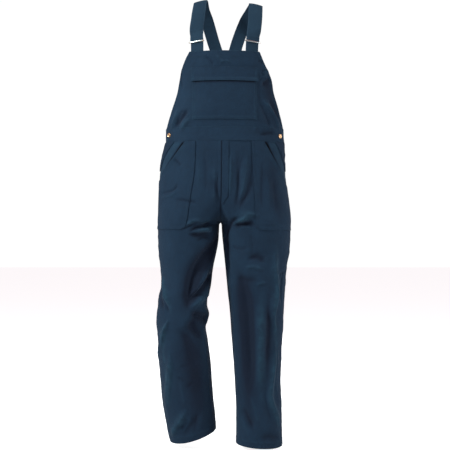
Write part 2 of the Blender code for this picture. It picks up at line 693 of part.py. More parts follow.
def strap_sheet(name, side, first, last, rows, lifts):
    """A stretch of strap, from one length of the shoulder line to another."""
    length = np.linspace(first, last, rows)
    middle = strap_middle(side, length)
    slope = (strap_middle(side, length + 2.0) - strap_middle(side, length - 2.0)) / 4.0
    half = STRAP_WIDTH / 2 * np.sqrt(1 + slope**2)
    across = np.linspace(-1.0, 1.0, 4)
    x = middle[:, None] + half[:, None] * across[None, :]
    ll = np.repeat(length[:, None], len(across), axis=1)
    ahead = shoulder_surface(ll + 1.0, x) - shoulder_surface(ll - 1.0, x)
    aside = shoulder_surface(ll, x + 1.0) - shoulder_surface(ll, x - 1.0)
    aside /= np.linalg.norm(aside, axis=-1, keepdims=True)
    normal = np.cross(aside, ahead)
    normal /= np.linalg.norm(normal, axis=-1, keepdims=True)
    twist = np.radians(along_strap(STRAP_TWISTS[side], ll))[..., None] * SIDES[side]
    core = shoulder_surface(length, middle)[:, None]
    reach = (half[:, None] * across[None, :])[..., None]
    base = core + (shoulder_surface(ll, x) - core) * np.cos(twist) + normal * reach * np.sin(twist)
    normal = normal * np.cos(twist) - aside * np.sin(twist)
    lift = np.interp(length, *zip(*lifts))[:, None, None]
    wall(name, base + normal * (lift + STRAP_CLOTH), base + normal * lift, STRAP_DRILL)


def make_strap(side):
    """A strap and the tab that it is buckled to. The left strap passes over the right one on the back."""
    start = line_length("f", BUCKLE_DROP) - 1.0
    end = LINE[-1][0]
    crossing = line_length("b", CROSSING)
    top = STRAP_CLOTH + 2 * SEAM_GAP if side == "left" else 0.0
    lifts = (
        (crossing - CROSSING_FLAT - CROSSING_RAMP, 0.0),
        (crossing - CROSSING_FLAT, top),
        (crossing + CROSSING_FLAT, top),
        (crossing + CROSSING_FLAT + CROSSING_RAMP, 0.0),
    )
    strap_sheet(f"strap_{side}", side, start, end, STRAP_STEPS, lifts)
    tab_end = line_length("f", BUCKLE_DROP) + TAB_PAST_BUCKLE
    behind_bib = -CLOTH - PATCH_GAP - STRAP_CLOTH
    lifts = ((0.0, behind_bib), (tab_end, -SEAM_GAP - STRAP_CLOTH))
    strap_sheet(f"strap_tab_{side}", side, TAB_START, tab_end, TAB_STEPS, lifts)


def ring_outline(half, front, back):
    """A rounded rectangle with bars at two depths, whose middles get extra points so that they can bend."""
    points = []
    for cx, cy, first in ((half, front, 0), (-half, front, 90), (-half, back, 180), (half, back, 270)):
        px = cx - math.copysign(BUCKLE_CORNER, cx)
        py = cy - math.copysign(BUCKLE_CORNER, cy)
        for degrees in range(first, first + 91, 30):
            angle = math.radians(degrees)
            points.append((px + BUCKLE_CORNER * math.cos(angle), py + BUCKLE_CORNER * math.sin(angle)))
        if first in (0, 180):
            points.extend((cx * share, cy) for share in (0.4, 0.0, -0.4))
    return points


def make_buckle(side):
    """A ring of wire round the strap's end and the tab, its inner end a little higher."""
    length = np.array(line_length("f", BUCKLE_DROP))
    middle = float(strap_middle(side, length))
    half = STRAP_WIDTH / 2 + BUCKLE_WIRE / 2 + BUCKLE_SLACK
    front = STRAP_CLOTH + BUCKLE_WIRE / 2 + BUCKLE_SLACK / 2
    back = -2 * STRAP_CLOTH - BUCKLE_WIRE / 2 - BUCKLE_SLACK
    curve = bpy.data.curves.new(f"buckle_{side}", "CURVE")
    curve.dimensions = "3D"
    curve.bevel_depth = BUCKLE_WIRE / 2 * MM
    curve.bevel_resolution = 2
    spline = curve.splines.new("POLY")
    outline = ring_outline(half, front, back)
    spline.points.add(len(outline) - 1)
    for point, (across, out) in zip(spline.points, outline):
        base = shoulder_surface(length, np.array(middle + across))
        aside = shoulder_surface(length, np.array(middle + across + 1.0)) - base
        spot = base + np.cross(aside / np.linalg.norm(aside), (0.0, 0.0, 1.0)) * out
        spot[2] -= SIDES[side] * across * math.tan(math.radians(BUCKLE_TILT))
        point.co = (*(spot * MM), 1.0)
    spline.use_cyclic_u = True
    keep(f"buckle_{side}", curve, NICKEL)


def make_button(side):
    """A turned metal button on the waistband, just in front of the side seam."""
    mesh = bpy.data.meshes.new(f"button_{side}")
    points = [(radius * MM, 0.0, height * MM) for radius, height in BUTTON_PROFILE]
    mesh.from_pydata(points, [(i, i + 1) for i in range(len(points) - 1)], [])
    item = keep(f"button_{side}", mesh, COPPER)
    turned = item.modifiers.new("turned", "SCREW")
    turned.steps = turned.render_steps = 20
    turned.use_merge_vertices = True
    turned.merge_threshold = 0.00001
    turned.use_smooth_shade = True
    turn, height = BUTTON_PLACES[side]
    angle = -math.radians(turn) if side == "left" else -math.pi + math.radians(turn)
    at = (np.array(angle), np.array(height))
    normal = facing(body_surface, *at)
    lift = BAND_CLOTH - CLOTH + SEAM_GAP + BUTTON_RADIUS * BUTTON_LEAN - BUTTON_SEAT
    item.location = Vector((body_surface(*at) + normal * lift) * MM)
    axis = Vector(normal * (1 - BUTTON_LEAN)) + Vector((0.0, -BUTTON_LEAN, 0.0))
    item.rotation_mode = "QUATERNION"
    item.rotation_quaternion = axis.to_track_quat("Z", "Y")


# ---------------------------------------------------------------- the garment
for old in list(bpy.data.objects):
    bpy.data.objects.remove(old, do_unlink=True)
COLLECTION = bpy.data.collections.new("bib_overalls")
bpy.context.scene.collection.children.link(COLLECTION)

make_bib()
make_waistband()
make_fly()
for side_name in SIDES:
    leg_panel(side_name, "front")
    leg_panel(side_name, "back")
    make_hip_pocket(side_name)
    make_placket(side_name)
    make_strap(side_name)
    make_buckle(side_name)
    make_button(side_name)
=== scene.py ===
"""Bib-and-brace work overalls, filled out as if worn, with no wearer in them.

Each cloth piece is a thin shell on the form of the solid that it replaces, laid out along the cloth in
millimetres, with its folds, seams, hems and stitching. A point on a leg is named by its turn and its
height: turn 0 is the side seam, -90 degrees the middle of the front, 180 the inside of the leg and 90 the
middle of the back. A point above the legs is named in the same way on the body's section, where turn 0 is
the wearer's left side.
"""

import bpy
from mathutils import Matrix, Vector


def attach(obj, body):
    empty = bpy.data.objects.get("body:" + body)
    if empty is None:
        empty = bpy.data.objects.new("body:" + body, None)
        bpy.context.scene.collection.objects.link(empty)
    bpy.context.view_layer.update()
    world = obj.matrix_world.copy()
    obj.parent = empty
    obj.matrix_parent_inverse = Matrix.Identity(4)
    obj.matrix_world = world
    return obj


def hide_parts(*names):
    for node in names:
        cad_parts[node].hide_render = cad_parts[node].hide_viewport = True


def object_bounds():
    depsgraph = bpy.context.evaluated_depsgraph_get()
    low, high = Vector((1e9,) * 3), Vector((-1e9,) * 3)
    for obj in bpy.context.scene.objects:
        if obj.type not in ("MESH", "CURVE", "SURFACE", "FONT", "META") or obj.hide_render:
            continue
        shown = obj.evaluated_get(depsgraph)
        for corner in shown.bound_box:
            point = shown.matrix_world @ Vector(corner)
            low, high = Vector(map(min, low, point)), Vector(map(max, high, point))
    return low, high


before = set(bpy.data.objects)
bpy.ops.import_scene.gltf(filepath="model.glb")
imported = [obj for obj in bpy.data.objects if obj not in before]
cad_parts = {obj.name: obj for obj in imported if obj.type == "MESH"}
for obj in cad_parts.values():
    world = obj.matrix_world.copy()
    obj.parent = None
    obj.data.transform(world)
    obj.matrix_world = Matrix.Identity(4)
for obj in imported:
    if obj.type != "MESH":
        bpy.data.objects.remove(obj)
cad_box = [list(corner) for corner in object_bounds()]

import math

import bpy
import numpy as np
from mathutils import Vector

MM = 0.001


def table(text):
    """Rows of numbers from text: # starts a comment, | a further row, and - stands for no value."""
    lines = [line.split("#")[0] for line in text.replace(",", " ").splitlines()]
    rows = [row.split() for row in "|".join(lines).split("|")]
    return [tuple(None if w == "-" else w if w.isalpha() else float(w) for w in row) for row in rows if row]


# ---- sizes, in millimetres
CLOTH = 1.5
BAND_CLOTH = 2.6
PATCH_CLOTH = 1.2
STRAP_CLOTH = 2.4
SEAM_GAP = 0.3
PATCH_GAP = 0.9
HEM_RISE = 0.7  # a turned hem or a felled seam stands this far above the single cloth
GRID_STEP = 3.6  # between the points of a panel
FINE_STEP = 2.6  # between the points of the bib and the patches

BIB_TOP = -192.5
BAND_TOP = -450.5
BAND_BOTTOM = -498.3
PANEL_TOP = BAND_BOTTOM - SEAM_GAP
CROTCH = -776.0
RISE_RUN, RISE_SOFT = 230.0, 8.0  # above the crotch the two legs merge over this height
INSEAM_TURN, INSEAM_RUN = 25.0, 120.0  # the inseam lies this many degrees off the inside, from this far down
SIDES = {"right": -1, "left": 1}

# ---- sections of the garment
LEGS = {  # height, outer side, inner side, front and back
    "right": table("""
        -498.6 -204.5 - -123 119 | -520 -211 - -125 122 | -560 -219.5 - -127 129 | -630 -228 - -130 143
        -700 -231 - -131 150 | -776 -231 -14.2 -130 140 | -779 -230.9 -18 -130 139 | -786 -231 -19.2 -130 137
        -818 -231.5 -19.8 -128 130 | -877 -229 -28 -125 117 | -945 -221.5 -41 -121 102
        -975 -219 -44 -120 96 | -1004 -221 -48.5 -119 89 | -1032 -229 -58 -119 84
        -1060 -230.5 -60.5 -118 78 | -1092 -234.5 -53.5 -116 74 | -1116 -236 -59 -115 71
        -1138 -235 -66.5 -112 72 | -1176 -232.5 -60.5 -106 74 | -1274 -228 -48 -86 89
        -1375 -220.8 -40.5 -64 104 | -1474 -203.5 -32 -48 115 | -1545 -187 -29.5 -38 121
    """),
    "left": table("""
        -498.6 208.3 - -123 119 | -520 209 - -125 122 | -560 209.7 - -127 129 | -630 215.2 - -130 143
        -700 223 - -131 150 | -776 230.5 -13.8 -129 140 | -779 230.4 -10.5 -129 139
        -786 230.5 -9.3 -128 137 | -818 231 -8.6 -125 131 | -865 229 -4 -119 121 | -940 216.5 3.5 -109 109
        -1004 211.5 9.5 -102 101 | -1085 207 18.5 -96 94 | -1162 203.5 24.5 -91 92 | -1220 200 28.5 -87 93
        -1333 197.5 35.5 -80 94 | -1435 201 41 -76 94 | -1548 203.5 41.5 -73 93
    """),
}
HEM_Z = {"right": -1522.0, "left": -1549.0}
HEM_TILT = {"right": (0.27, 0.14), "left": (0.05, 0.03)}  # its rise towards the inner side and the back
HEM_TILT_RUN = 200.0
# height, half width to the wearer's right and to the left, depth to the front and to the back
BODY = table("""
    -498.6 204.5 208.3 123 119 | -474 203 206 122 117 | -450 203.5 205 122 116 | -400 198 199 124 118
    -330 188 190 125 123 | -250 179 180 120 128 | -185 175 175 114 122
""")
# height, half width to the wearer's right, and to the left
BIB_EDGE = table("""
    -450.5 201.5 203 | -425 193.5 196.5 | -375 176.5 183 | -325 160.5 168
    -288 153.5 162.5 | -262 149.5 152.5 | -230 139 137 | -192.5 120 120
""")
CENTRE_SEAM = table("-498.6 -8.5 | -640 -9.5 | -776 -14")

# ---- straps, buckles and buttons
STRAP_WIDTH = 43.0
# depth, height, and the way the cloth faces, from 0 forward through 90 up to 180 back
SHOULDER = table("""
    -114.5 -225 0 | -114.5 -192 0 | -111.5 -158 6 | -102 -110 17 | -83 -62 33 | -52 -18 58 | -18 8 80
    14 10 100 | 50 -10 124 | 84 -52 146 | 107 -105 161 | 120 -160 170 | 127.5 -230 176 | 128 -300 180
    123.5 -370 180 | 116 -450.2 180
""")
SHOULDER_HALF_WIDTH, SHOULDER_FALL = 175.0, 114.5
# height on the front (f) or back (b) of that line, and where the middle of each strap runs across
STRAP_PATHS = {
    "right": table("""
        f -225 -94.5 | f -157 -94.3 | f -119 -94.8 | f -62 -90 | b 8 -80 | b -14 -75.5 | b -52 -61.5
        b -129 -38.5 | b -160 -28 | b -255 1 | b -360 34 | b -450.2 62
    """),
    "left": table("""
        f -225 94 | f -157 95.5 | f -119 99.5 | f -62 104.5 | b 8 108.5 | b -14 97 | b -52 76
        b -129 45.5 | b -160 36 | b -255 1 | b -360 -34 | b -450.2 -62
    """),
}
# Above the buckle each strap is turned about its own middle by these degrees, its outer edge forward.
STRAP_TWISTS = {
    "right": table("f -225 0 | f -136 0 | f -108 27 | f -50 20 | b 8 3 | b -52 0"),
    "left": table("f -225 0 | f -136 0 | f -108 27 | f -18 20 | b 8 15 | b -110 0"),
}
CROSSING = -252.0
CROSSING_FLAT, CROSSING_RAMP = 80.0, 60.0  # how long the left strap stays lifted there, and how it comes down
BUCKLE_DROP = -157.0
BUCKLE_TILT = 4.0  # degrees; its inner end is the higher one
TAB_PAST_BUCKLE = 12.0
BUTTON_RADIUS = 7.5
BUTTON_PLACES = {"right": (22.5, -474.0), "left": (24.0, -478.0)}  # degrees from the side seam, and height
BUTTON_LEAN = 0.3  # share by which the button looks forward instead of straight out of the cloth

# ---- patches
BIB_POCKET = dict(left=109.5, right=108.5, bottom=-425.5, top=-262.0)
POCKET_DIVIDER = 18.0  # x of the line of stitches down the bib pocket
POCKET_FULLNESS = 1.6
FLAP = dict(left=111.5, right=111.0, bottom=-295.5, top=-249.0)
FLAP_LIFT = 2.0
FLY_WIDTH = 22.0
FLY_BOTTOM = -712.0
FLY_TIP, FLY_CURVE = 0.35, 30.0  # its share of width at the foot, and how far up it widens
SLANT_TOP = (-499.6, 134.0)  # height and x of the upper end of a hip pocket's mouth
HIP_POCKETS = {  # the foot, the lower end of the mouth, and the inner edge
    "right": (
        -799.0, (-631.0, 227.0),
        table("-499.6 97.5 | -594 101.5 | -697 117 | -770 128 | -785 132 | -794 139 | -799 151"),
    ),
    "left": (
        -802.0, (-651.0, 217.0),
        table("-499.6 91.5 | -613 97.5 | -697 103 | -772 106 | -788 110 | -797 117 | -802 129"),
    ),
}
MOUTH_GAPE = 4.5
MOUTH_GROOVE = 4.0
PLACKET_TOP_WIDTH, PLACKET_FOOT_WIDTH = 172.0, 13.0
PLACKET_BOTTOM = -597.0

# ---- folds
# A row is one fold: its height, its spread, and the turn in degrees and the height of each point of its
# line. A ridge has a positive height and a trough a negative one. The spread is how far it reaches to
# either side of the line.
FOLDS = {
    "right": table("""
    # thigh, front: folds that fan out from the crotch to the bent knee
    -4 9 -85,-608 -99,-666 -125,-730
    5 8 -84,-797 -98,-772 -117,-774 -130,-750
    -5 8 -91,-811 -106,-794 -126,-783 -141,-772
    4 7 -100,-812 -122,-803 -145,-800
    -4 8 -93,-822 -117,-820 -146,-818
    -12 24 -165,-800 -153,-856 -126,-903 -106,-970 -106,-1048 -100,-1095
    5 12 -150,-925 -136,-958 -121,-1000 -112,-1040
    -10 16 -180,-935 -147,-985 -123,-1030 -104,-1075
    8 13 -101,-1070 -142,-1034 -178,-1010
    -13 16 -105,-1085 -145,-1100 -178,-1122
    -7 17 -105,-1097 -124,-1138 -151,-1176
    # outer side of the knee and below
    -6 13 -2,-975 -20,-1030 -48,-1075
    6 12 -20,-966 -40,-1010 -62,-1060
    6 13 -65,-1102 -52,-1135 -37,-1171 -1,-1274
    -4 18 -88,-1130 -109,-1192 -117,-1281
    5 12 -59,-1204 -55,-1282 -44,-1346 -36,-1401 -35,-1452
    6 13 -88,-1409 -73,-1441 -50,-1472 -30,-1500
    -2 14 -112,-1436 -90,-1470 -66,-1500
    # back: drags from the seat down to the knee, breaks behind it, long falls below
    -5 14 128,-800 100,-828 66,-842 38,-838
    3 12 135,-838 104,-868 70,-884 42,-886
    -3 15 60,-610 82,-690 112,-765
    3 13 40,-700 52,-800 72,-905 98,-985
    -3 13 140,-905 118,-965 92,-1020 70,-1065
    -6 12 22,-1062 58,-1092 98,-1100 142,-1080
    5 10 30,-1088 66,-1116 104,-1126 150,-1112
    -4 11 48,-1138 82,-1158 122,-1150
    3 10 70,-1178 96,-1186 132,-1172
    -3 16 58,-1180 74,-1270 66,-1370 78,-1480
    3 14 118,-1215 108,-1320 122,-1430 112,-1500
    -3 13 142,-1250 134,-1360 140,-1450
    """),
    "left": table("""
    # front: two long folds from the waistband and a tuck below them
    -2.5 8 -73,-520 -84,-660 -106,-743
    2 12 -72,-560 -80,-650 -98,-720
    -2 8 -61,-600 -74,-666 -91,-710 -103,-740
    6 11 -125,-774 -107,-762 -92,-747 -80,-760
    -3 8 -135,-790 -110,-783 -88,-786
    -7 12 -121,-766 -139,-785 -151,-813 -155,-880 -158,-986
    6 13 -59,-825 -57,-920 -48,-1000 -58,-1095 -47,-1144
    6 13 -45,-1180 -54,-1296 -61,-1381 -40,-1442 -20,-1499
    -3 12 -108,-900 -89,-890 -73,-915
    -2 13 -136,-971 -109,-973 -86,-969
    5 19 -88,-1020 -84,-1120 -84,-1211 -88,-1362
    -9 26 -131,-910 -118,-989 -113,-1108 -111,-1246 -111,-1384
    -4 13 -68,-1040 -66,-1143 -71,-1280
    -2.5 14 -143,-1410 -122,-1450 -102,-1482
    -3 13 -94,-1516 -61,-1508 -30,-1520
    # back
    -5 14 130,-792 98,-816 62,-836 36,-834
    3 12 132,-826 100,-856 64,-880
    -3 15 56,-620 76,-700 104,-770
    3 13 46,-720 60,-830 86,-940 104,-1010
    -3 13 136,-900 112,-975 84,-1045
    -5 12 36,-1058 78,-1088 116,-1094 150,-1078
    4 10 44,-1094 84,-1120 124,-1122
    -3 11 66,-1138 100,-1152 138,-1140
    -3 16 84,-1170 100,-1270 92,-1380 100,-1490
    3 14 130,-1180 124,-1300 134,-1430
    2.5 13 56,-1200 66,-1310 58,-1430
    """),
    "body": table("""
    5 11 -52,-345 -37,-387 -28,-419 -24,-465
    -4 12 -40,-350 -26,-400 -18,-440
    4 9 -142,-380 -151,-439 -155,-462
    -5 10 -128,-385 -140,-430 -150,-455
    4 9 -124,-415 -139,-464
    4 9 -52,-290 -38,-262 -32,-250
    -4 10 -50,-308 -36,-290 -30,-275
    -4 7 -56,-478 -43,-470 -33,-472
    """),
}
# Creases and small ridges, in the same terms.
SMALL_FOLDS = {
    "right": table("""
    # inside of the thigh below the crotch
    -4 4.5 -82,-801 -94,-786 -105,-777 -125,-780
    5 5.5 -92,-812 -110,-802 -126,-796 -146,-783
    -5 5.5 -89,-818 -107,-814 -122,-812 -140,-812
    3 4 -118,-789 -130,-805 -141,-789
    -3 5 -107,-838 -122,-828 -142,-830
    # outer side of the knee
    3 5 -15,-949 -34,-1000 -63,-1057
    -3 5 -39,-1027 -52,-1060 -63,-1086
    4 5 -63,-1096 -56,-1129 -44,-1171 -33,-1214
    # shin and hem
    1.5 6 -60,-1204 -60,-1276 -47,-1375 -31,-1425
    -1.5 5.5 -72,-1305 -81,-1313 -90,-1325
    -1.5 5.5 -105,-1322 -98,-1336 -90,-1346
    -1.2 6 -80,-1274 -95,-1265 -106,-1261
    1.5 5.5 -81,-1308 -82,-1361 -87,-1412
    2 7 -87,-1411 -66,-1457 -32,-1507
    -2 7 -46,-1479 -66,-1466 -81,-1462
    1.5 6 -98,-1431 -82,-1466 -67,-1496
    -1.5 6 -109,-1427 -103,-1466 -98,-1502
    1.5 7 -128,-1420 -116,-1458 -111,-1495
    # pocket and front
    -3 4.5 -39,-555 -46,-571 -52,-587
    -2.5 4.5 -22,-675 -43,-670 -51,-657 -50,-634
    2.5 4.5 -25,-691 -45,-685 -55,-669
    -2.5 5 -51,-696 -73,-704 -89,-713
    -4 4.5 -88,-592 -104,-678 -136,-747
    3 6 -84,-582 -96,-666 -111,-720
    1.4 6 -66,-550 -72,-605 -78,-666
    -1.5 7 -73,-531 -79,-605 -89,-687
    """),
    "left": table("""
    # crotch
    -4 4.5 -147,-801 -140,-781 -120,-765 -99,-749
    4 5 -138,-787 -120,-772 -102,-760 -94,-765
    -4 4.5 -134,-789 -115,-782 -100,-774 -92,-787
    3 4.5 -121,-798 -107,-791 -95,-804
    # thigh
    -1 5 -100,-801 -99,-845 -100,-889
    -2 6 -141,-858 -120,-865 -103,-861
    -2 6 -112,-906 -93,-896 -74,-916
    4 6 -114,-930 -94,-926 -77,-940
    -1 7 -134,-967 -111,-969 -88,-975
    3 5 -92,-991 -82,-981 -70,-985
    4 5 -61,-886 -52,-979 -46,-1031 -52,-1082 -52,-1116 -40,-1166
    -4 5 -27,-932 -33,-994 -28,-1064
    -3 3.5 -48,-955 -37,-951 -16,-945
    # shin and hem
    2 6 -55,-1137 -48,-1213 -53,-1289 -60,-1357 -54,-1412 -42,-1472 -34,-1514
    1.5 6 -38,-1173 -37,-1267 -41,-1336 -28,-1397
    -2 7 -66,-1308 -72,-1366 -69,-1417 -56,-1476
    2 7 -112,-1356 -99,-1424 -83,-1484
    1.5 8 -147,-1432 -126,-1479 -110,-1521
    -1.5 7 -135,-1405 -118,-1453 -100,-1506
    # front below the waistband
    -2 5 -68,-520 -76,-593 -89,-678 -111,-747
    -2 6 -62,-516 -64,-593 -80,-678 -105,-744
    2 5 -66,-523 -71,-606 -85,-678 -101,-727
    3 5 -81,-538 -87,-616 -101,-699
    -1.4 7 -41,-617 -45,-682 -52,-747
    1.4 6 -48,-604 -54,-682 -66,-750
    -2 6 -51,-563 -58,-648 -71,-740
    """),
    "body": table("""
    -3 4.5 -144,-246 -144,-290 -139,-323
    2 4.5 -126,-400 -134,-430 -139,-452
    -1.8 5 -135,-385 -141,-415 -145,-448
    3 5 -50,-351 -40,-383 -31,-414 -24,-460
    -2.6 7 -55,-359 -47,-399 -42,-438 -38,-466
    -3 4.5 -52,-297 -46,-279 -44,-259 -34,-251
    2 4.5 -51,-311 -42,-289 -36,-270
    -2 4 -51,-223 -45,-227 -41,-237
    2 4 -99,-207 -94,-226 -91,-240
    2 4 -95,-233 -88,-229 -82,-236
    -2 5 -113,-210 -106,-225 -101,-247
    2.5 5 -51,-442 -43,-449 -30,-450
    """),
}
# Painted highlight (above 0) and painted shade (below 0) laid into the cloth's colour, along lines like the
# folds'.
PAINTED_LIGHT_AND_SHADE = {
    "right": table("""
    -0.5 30 -172,-770 -152,-870 -130,-940 -112,-1010 -110,-1080
    -0.3 26 -170,-1110 -140,-1150 -128,-1260 -122,-1400 -118,-1530
    0.7 8 -18,-930 -34,-995 -62,-1062 -66,-1100
    0.65 8 -66,-1085 -50,-1150 -42,-1230 -45,-1320 -40,-1440
    0.3 8 -60,-1190 -58,-1290 -46,-1390 -34,-1440
    -0.3 22 -92,-1120 -104,-1190 -112,-1290 -108,-1400
    -0.28 36 -92,-1150 -100,-1300 -104,-1420 -100,-1520
    """),
    "left": table("""
    -0.5 30 -140,-900 -128,-985 -120,-1108 -118,-1260 -118,-1420 -116,-1540
    0.35 13 -84,-960 -80,-1030 -84,-1130 -84,-1270 -86,-1440
    -0.4 12 -64,-960 -66,-1060 -68,-1160 -68,-1290 -62,-1400
    0.85 8 -56,-830 -54,-900 -47,-1000 -51,-1100 -40,-1200 -34,-1290
    0.8 8 -44,-1190 -52,-1290 -58,-1380 -42,-1450 -24,-1520
    -0.3 24 -40,-540 -42,-620 -45,-720 -50,-800
    """),
    "body": table("""
    -0.5 26 -38,-255 -36,-320 -30,-390 -26,-460
    """),
}
# The gain is how much deeper the folds of a set run in the middle of the front than at the sides.
RELIEF = ((FOLDS, 1.9), (SMALL_FOLDS, 1.7))
# the painted highlight and shade bands, added to the cloth's colour
PAINTED_TONES = ((PAINTED_LIGHT_AND_SHADE, 1.0),)
CREST = 1.7  # how sharp the crest of a fold is: 2 is round
FOLD_TAPER = 0.3  # share of a fold's length over which it rises from either end
BODY_RADIUS = 160.0
WAVES = ((1.3, (75, 75, 170)), (0.9, (33, 33, 70)), (0.4, (14, 14, 24)))  # height and cell
FOLD_LIGHT_SHADE_SCALE = 14.0  # a fold crest of this height is paled fully, partly as wear and partly as painted highlight, and a trough as deep gets the full painted crease shade


# ---- curves
def smooth(at, rows, column):
    """Reads a column of a table at given heights by a monotone cubic, which never overshoots."""
    rows = sorted((row[0], row[column]) for row in rows if row[column] is not None)
    x, y = np.array(rows, float).T
    at = np.clip(np.asarray(at, float), x[0], x[-1])
    step = np.diff(x)
    slope = np.diff(y) / step
    tangent = np.zeros_like(y)
    before, after = slope[:-1], slope[1:]
    same_way = before * after > 0
    weight_a = 2 * step[1:] + step[:-1]
    weight_b = step[1:] + 2 * step[:-1]
    safe = np.where(same_way, before * after, 1.0)
    mean = (weight_a + weight_b) * safe / (weight_a * after + weight_b * before + (~same_way))
    tangent[1:-1] = np.where(same_way, mean, 0.0)
    tangent[0], tangent[-1] = slope[0], slope[-1]
    i = np.clip(np.searchsorted(x, at) - 1, 0, len(step) - 1)
    u = (at - x[i]) / step[i]
    return (
        (1 + 2 * u) * (1 - u) ** 2 * y[i]
        + u * (1 - u) ** 2 * step[i] * tangent[i]
        + u * u * (3 - 2 * u) * y[i + 1]
        + u * u * (u - 1) * step[i] * tangent[i + 1]
    )


def ease(x):
    """Goes smoothly from 0 to 1 as x does."""
    x = np.clip(x, 0.0, 1.0)
    return x * x * (3 - 2 * x)


def bell(x, width):
    """Is 1 where x is 0, and falls away on either side over the width."""
    return np.exp(-((x / width) ** 2))


def unit(v):
    return v / np.maximum(np.linalg.norm(v, axis=-1, keepdims=True), 1e-9)


def scatter(a, b, c, seed):
    """A fixed number from -1 to 1 for each whole-numbered place."""
    h = (a * 374761393 + b * 668265263 + c * 2147483647 + seed * 144269504) & 0xFFFFFFFF
    h = ((h ^ (h >> 13)) * 1274126177) & 0xFFFFFFFF
    h = h ^ (h >> 16)
    return h / 2147483648.0 - 1.0


def unevenness(points, cell, seed):
    """Smooth noise of about -1 to 1 at points in millimetres; the cell is its size along x, y and z."""
    p = points / np.array(cell, float)
    low = np.floor(p).astype(np.int64)
    f = p - low
    f = f * f * (3 - 2 * f)
    total = np.zeros(points.shape[:-1])
    for corner in np.ndindex(2, 2, 2):
        weight = np.prod(np.where(corner, f, 1 - f), axis=-1)
        total += weight * scatter(*np.moveaxis(low + corner, -1, 0), seed)
    return total


# ---- the garment's form
def centre_x(z):
    return smooth(z, CENTRE_SEAM, 1)


def leg_section(side, z):
    """Centre and radii of the leg's section: an ellipse that reaches past the centre above the crotch."""
    outer, inner, front, back = (smooth(z, LEGS[side], column) for column in (1, 2, 3, 4))
    middle = centre_x(z)
    height = np.maximum(z - CROTCH, 0.0)
    share = np.minimum((np.sqrt(height**2 + RISE_SOFT**2) - RISE_SOFT) / RISE_RUN, 1.0)
    merge = 1 - (1 - share) ** 1.6
    inner = np.where(z > CROTCH, middle - (outer - middle) * merge, inner)
    return (outer + inner) / 2, np.abs(outer - inner) / 2, (front + back) / 2, (back - front) / 2


def leg_form(side, turn, z):
    """The smooth leg, without folds."""
    cx, rx, cy, ry = leg_section(side, z)
    x = cx + SIDES[side] * rx * np.cos(turn)
    y = cy + ry * np.sin(turn)
    inward, backward = HEM_TILT[side]
    near_hem = ease((HEM_Z[side] + HEM_TILT_RUN - z) / HEM_TILT_RUN)
    lift = near_hem * (inward * (cx - x) * SIDES[side] + backward * (y - cy))
    return np.stack([x, y, z + lift], -1)


def body_form(turn, z):
    """The smooth body above the legs."""
    half = np.where(np.cos(turn) < 0, smooth(z, BODY, 1), smooth(z, BODY, 2))
    depth = np.where(np.sin(turn) < 0, smooth(z, BODY, 3), smooth(z, BODY, 4))
    return np.stack([half * np.cos(turn), depth * np.sin(turn), z + 0.0 * turn], -1)


def form(side, turn, z):
    return body_form(turn, z) if side == "body" else leg_form(side, turn, z)


def body_turn(x, z):
    """The turn of a point of the front whose x is given."""
    half = np.where(x < 0, smooth(z, BODY, 1), smooth(z, BODY, 2))
    return -np.arccos(np.clip(x / half, -1.0, 1.0))


def leg_turn(side, x, z):
    """The turn of a point of the leg's front whose distance from the middle is given."""
    cx, rx, _, _ = leg_section(side, z)
    return -np.arccos(np.clip((SIDES[side] * x - cx) / (SIDES[side] * rx), -1.0, 1.0))


def around(turn):
    """The same turn, from -180 to 180 degrees."""
    return (turn + math.pi) % (2 * math.pi) - math.pi


def facing(side, turn, z):
    """Unit normals of the smooth form, pointing out of the garment; level on the body."""
    across = form(side, turn + 0.004, z) - form(side, turn - 0.004, z)
    up = form(side, turn, z + 0.8) - form(side, turn, z - 0.8)
    return unit(np.cross(across, up) * ((1.0, 1.0, 0.0) if side == "body" else SIDES[side]))


def rounded(line, steps=5):
    """A fold's line with its corners rounded, in radians and millimetres."""
    p = np.radians(np.reshape(line, (-1, 2)) * (1.0, 180 / math.pi))
    p = np.concatenate([[2 * p[0] - p[1]], p, [2 * p[-1] - p[-2]]])
    a, b, c, d = (p[i:len(p) - 3 + i, None] for i in range(4))
    u = (np.arange(steps) / steps)[:, None]
    path = 0.5 * (2 * b + (c - a) * u + (2 * a - 5 * b + 4 * c - d) * u**2 + (3 * b - a - 3 * c + d) * u**3)
    return np.concatenate([path.reshape(-1, 2), p[-2:-1]])


def fold_push(side, turn, z, sets):
    """How far the folds push the cloth out or in at each point of a grid."""
    total = np.zeros(turn.shape)
    radius = np.full(turn.shape, BODY_RADIUS)
    if side != "body":
        _, rx, _, ry = leg_section(side, z)
        radius = np.sqrt((rx * rx + ry * ry) / 2)
    for gain, height, spread, *line in [(gain, *row) for rows, gain in sets for row in rows[side]]:
        path = rounded(line)
        reach = 3 * spread
        near = (z.max(axis=1) > path[:, 1].min() - reach) & (z.min(axis=1) < path[:, 1].max() + reach)
        if not near.any():
            continue
        t, h, r = turn[near], z[near], radius[near]
        steps = np.diff(path, axis=0)
        lengths = np.hypot(steps[:, 0] * 120, steps[:, 1])
        best, share, start = np.full(t.shape, 1e9), np.zeros(t.shape), 0.0
        for (t0, z0), (dt, dz), length in zip(path, steps, lengths):
            ax, az, bx = around(t - t0) * r, h - z0, dt * r
            along = np.clip((ax * bx + az * dz) / np.maximum(bx * bx + dz * dz, 1e-9), 0, 1)
            distance = np.hypot(ax - along * bx, az - along * dz)
            share = np.where(distance < best, (start + along * length) / lengths.sum(), share)
            best = np.minimum(distance, best)
            start += length
        taper = ease(share / FOLD_TAPER) * ease((1 - share) / FOLD_TAPER)
        deeper = 1 + (gain - 1) * np.maximum(-np.sin(t), 0) ** 2
        total[near] += height * deeper * taper * np.exp(-((best / (spread * (0.6 + 0.4 * taper))) ** CREST))
    return total


